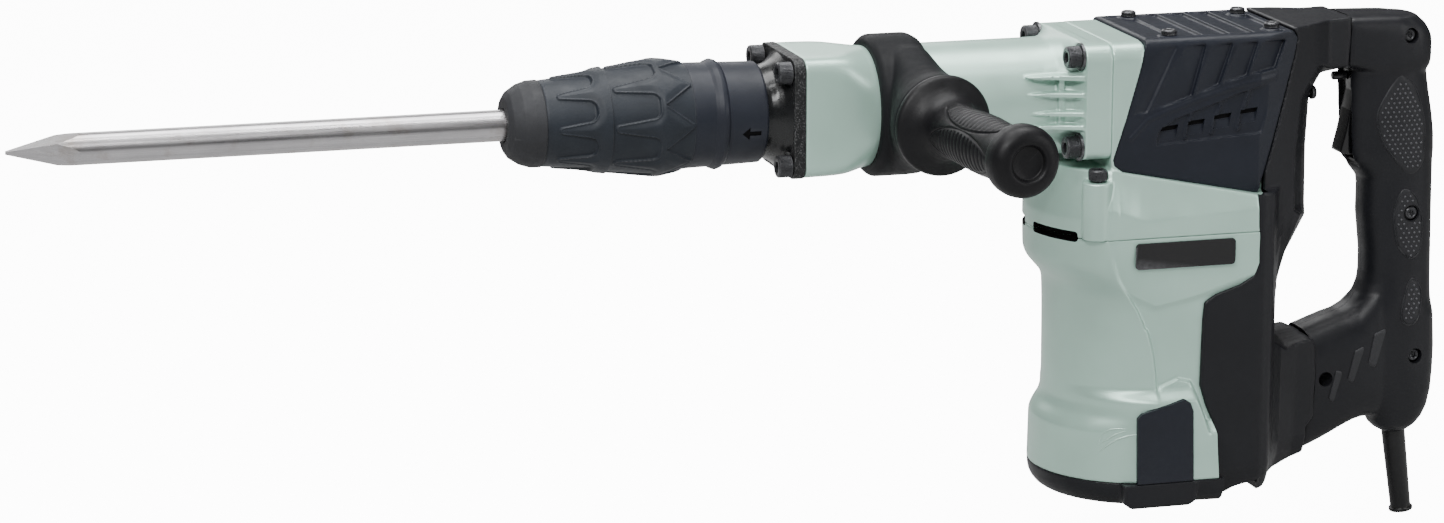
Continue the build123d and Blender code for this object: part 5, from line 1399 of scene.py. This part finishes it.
def pad_shell(tree, poly, side, height, rings, grooved=False):
    """Thin pad laid on the handle, with a groove inside its edge where wanted."""
    center_x, center_z = (sum(p[i] for p in poly) / len(poly) for i in (0, 1))
    upper, under = [], []
    for k in range(rings + 1):
        scale = max(k / rings, 0.02)
        upper_row, under_row = [], []
        for px, pz in poly:
            x, z = center_x + (px - center_x) * scale, center_z + (pz - center_z) * scale
            hit, _ = surface(tree, x, z, side)
            gap = (1 - scale) * math.hypot(px - center_x, pz - center_z)
            h = height * float(smooth(gap / 0.9)) - 0.25 * (1 - float(smooth(gap / 0.25)))
            if grooved and 0.9 < gap < 2.0:
                h -= 0.55 * math.sin((gap - 0.9) / 1.1 * PI)
            upper_row.append((x, hit.y + side * h, z))
            under_row.append((x, hit.y - side * 1.0, z))
        upper.append(upper_row)
        under.append(under_row)
    return loft(upper + [under[-1], under[0]])


def pad_dot(tree, x, z, side):
    hit, normal = surface(tree, x, z, side)
    across = normal.orthogonal().normalized()
    up = normal.cross(across)
    base = Vector((hit.x, hit.y + side * PAD_HEIGHT, hit.z))
    r = DOT_RADIUS
    profile = ((-0.6, r), (0.0, r), (0.38, r * 0.85), (0.62, r * 0.5), (0.7, 0.05))
    dot = loft([ring(base + normal * h, across, up, [radius] * 10) for h, radius in profile])
    second_faces(dot, lambda *_: True)
    return dot


def pad_dots(tree, poly, side, hole):
    """Staggered rows of dots, clear of the pad's edge and its screw hole."""
    xs, zs = zip(*poly)
    dots = []
    row = 0
    z = min(zs)
    while z < max(zs):
        x = min(xs) + (DOT_PITCH / 2 if row % 2 else 0)
        while x < max(xs):
            if (in_poly(x, z, poly) and edge_gap(x, z, poly) > 2.6
                    and not (hole and math.hypot(x - hole[0], z - hole[1]) < 6.6)):
                dots.append(pad_dot(tree, x, z, side))
            x += DOT_PITCH
        z += DOT_PITCH * 0.8
        row += 1
    return dots


def dotted_pad(tree, outline, hole, side):
    poly = curve_through(outline)
    parts = [pad_shell(tree, poly, side, PAD_HEIGHT, rings=26, grooved=True)]
    parts += pad_dots(tree, poly, side, hole)
    if hole:
        cut(parts[0], side_prism(circle(hole, 5.4), side, 5, 40))
    return join(parts)


def grip_handle():
    handle = handle_body()
    tree = BVHTree.FromPolygons([v.co / MM for v in handle.data.vertices],
                                [tuple(p.vertices) for p in handle.data.polygons])
    pads = [dotted_pad(tree, outline, hole, side) for side in SIDES for outline, hole in PADS]
    bars = [pad_shell(tree, fillet(outline, 1.8, 6), side, height=0.7, rings=10)
            for side in SIDES for outline in BARS]
    # split into a left and a right half
    left = bpy.data.objects.new("part", handle.data.copy())
    bpy.context.scene.collection.objects.link(left)
    cut(left, block(470, 590, -0.1, 60, -240, 60))
    cut(handle, block(470, 590, -60, 0.1, -240, 60))
    piece(left, "grip_shell_left", "housing", "black_plastic", PLASTIC, "handle_left", sharp=55)
    piece(handle, "grip_shell_right", "housing", "black_plastic", PLASTIC, "handle_right",
          sharp=55)
    piece(join(pads), "grip_pads", "housing", "rubber", (PAD, DOT), sharp=50)
    piece(join(bars), "grip_bars", "housing", "rubber", BAR, sharp=50)


def grip_screws():
    screws = [cap_screw((x, -(half - SCREW_SEAT), z), (0, -1, 0), head_r=4.0, head_h=3.0,
                        socket_r=1.9, shank_r=1.9, shank=11 + half - SCREW_SEAT, knurls=30,
                        socket=2.0) for x, z, half in GRIP_SCREWS]
    piece(join(screws), "grip_screws", "housing", "black_bolt", BOLT, "handle_screws", sharp=30)


# ------------------------------------------------------------ trigger
# Side outline, (x, z, corner radius)
TRIGGER = [(515.8, 6.7, 1.0), (517.2, -6, 6), (516.0, -18, 6), (513.6, -30, 6),
           (510.2, -43.8, 1.6), (521.6, -45.7, 2.0), (526.8, -25, 4), (526.8, 0, 3),
           (524.8, 6.7, 1)]
LOCK_PIN = [(506.4, 0.2), (506.4, 1.9), (506.8, 2.45), (507.4, 2.68), (514.8, 2.68),
            (514.8, 0.2)]  # (x, radius)
LOCK_Z = 2.4


def trigger():
    lever = prism(fillet(TRIGGER, 1.5, 6), "y", -7.15, 7.15)
    add_bevel(lever, width=0.0011, angle=50)
    bake(lever)
    cut(lever, cylinder("y", (522, 3), 2.0, -12, 12),
        cylinder("x", (0, LOCK_Z), 2.8, 495, 518.6))
    piece(lever, "trigger_lever", "trigger", "gloss_black", GLOSS, "trigger", sharp=40)
    pin = revolve(LOCK_PIN, 64, closed=False)
    pin.data.transform(Matrix.Translation((0, 0, LOCK_Z * MM)))
    piece(pin, "lock_pin", "lock_button", "gloss_black", GLOSS, "lock_button", sharp=35)


# ------------------------------------------------------------ stage, light, camera
FLOOR_HALF = 6000
FLOOR_TOP = -274.5
FLOOR_GLOW = 12.0                     # emission seen by the camera only
WORLD_LIGHT, WORLD_SEEN = 0.13, 11.0  # strength as light, and as seen by the camera

# (name, place, aimed at, (width, height), watts)
LIGHTS = [("key", (-0.9, -1.5, 1.5), (0.2, 0, -0.05), (1.8, 0.45), 62),
          ("strip", (0.1, -0.55, 1.5), (0.22, 0, 0.0), (1.6, 0.10), 14),
          ("top", (0.3, 0.3, 1.9), (0.25, 0, -0.05), (2.2, 1.0), 70),
          ("side", (1.9, -1.4, 0.5), (0.45, 0, -0.1), (0.8, 1.4), 16),
          ("back", (0.0, 1.9, 0.9), (0.25, 0, -0.1), (2.0, 0.8), 16)]

CAMERA_AZIMUTH = math.radians(-15.947)
CAMERA_ELEVATION = math.radians(13.152)
CAMERA_DISTANCE = 2.5
CAMERA_TARGET = Vector((0.12858, 0, -0.08717))


def set_floor():
    floor = block(-FLOOR_HALF, FLOOR_HALF, -FLOOR_HALF, FLOOR_HALF, FLOOR_TOP - 1, FLOOR_TOP)
    floor.name = floor.data.name = "floor"
    paper = material("floor_paper", (0.40, 0.40, 0.40), rough=0.75, spec=0.2, tint=0.01,
                     blotch=900, rough_var=0.03, grain=(6, 0.01))
    nodes, links = paper.node_tree.nodes, paper.node_tree.links
    output = next(node for node in nodes if node.type == "OUTPUT_MATERIAL")
    shader = next(node for node in nodes if node.type == "BSDF_PRINCIPLED")
    glow = nodes.new("ShaderNodeEmission")
    path = nodes.new("ShaderNodeLightPath")
    strength = nodes.new("ShaderNodeMath")
    both = nodes.new("ShaderNodeAddShader")
    strength.operation = "MULTIPLY"
    strength.inputs[1].default_value = FLOOR_GLOW
    links.new(path.outputs["Is Camera Ray"], strength.inputs[0])
    links.new(strength.outputs[0], glow.inputs["Strength"])
    links.new(shader.outputs["BSDF"], both.inputs[0])
    links.new(glow.outputs["Emission"], both.inputs[1])
    links.new(both.outputs[0], output.inputs["Surface"])
    floor.data.materials.append(paper)


def set_world():
    world = bpy.data.worlds.new("studio")
    world.use_nodes = True
    nodes, links = world.node_tree.nodes, world.node_tree.links
    background = nodes["Background"]
    background.inputs["Color"].default_value = (1.0, 1.0, 1.0, 1)
    path = nodes.new("ShaderNodeLightPath")
    amount = nodes.new("ShaderNodeMapRange")
    amount.inputs["To Min"].default_value = WORLD_LIGHT
    amount.inputs["To Max"].default_value = WORLD_SEEN
    links.new(path.outputs["Is Camera Ray"], amount.inputs["Value"])
    links.new(amount.outputs["Result"], background.inputs["Strength"])
    bpy.context.scene.world = world


def set_lights():
    for name, place, target, size, watts in LIGHTS:
        light = bpy.data.lights.new(name, "AREA")
        light.shape = "RECTANGLE"
        light.size, light.size_y = size
        light.energy = watts
        lamp = bpy.data.objects.new(name, light)
        lamp.location = place
        aim = Vector(target) - Vector(place)
        lamp.rotation_euler = aim.to_track_quat("-Z", "Y").to_euler()
        bpy.context.scene.collection.objects.link(lamp)


def set_camera():
    lens = bpy.data.cameras.new("camera")
    lens.lens = 108.006
    lens.sensor_width = 36
    lens.sensor_fit = "HORIZONTAL"
    lens.clip_start = 0.05
    lens.clip_end = 100
    camera = bpy.data.objects.new("camera", lens)
    a, e = CAMERA_AZIMUTH, CAMERA_ELEVATION
    back = Vector((math.sin(a) * math.cos(e), -math.cos(a) * math.cos(e), math.sin(e)))
    right = Vector((math.cos(a), math.sin(a), 0))
    turn = Matrix((right, back.cross(right), back)).transposed().to_4x4()
    camera.matrix_world = Matrix.Translation(CAMERA_TARGET + back * CAMERA_DISTANCE) @ turn
    bpy.context.scene.collection.objects.link(camera)
    bpy.context.scene.camera = camera


for build in (dress_cad_pieces, dust_cap, chuck_grip, operating_collar, body_screws,
              nose_flange, barrel_casting, clamp, side_grip, gear_case, motor_casing, foot_cap,
              vent_cover, roof_screws, rear_shell, shell_screws, grip_handle, grip_screws,
              trigger, set_floor, set_world, set_lights, set_camera):
    build()
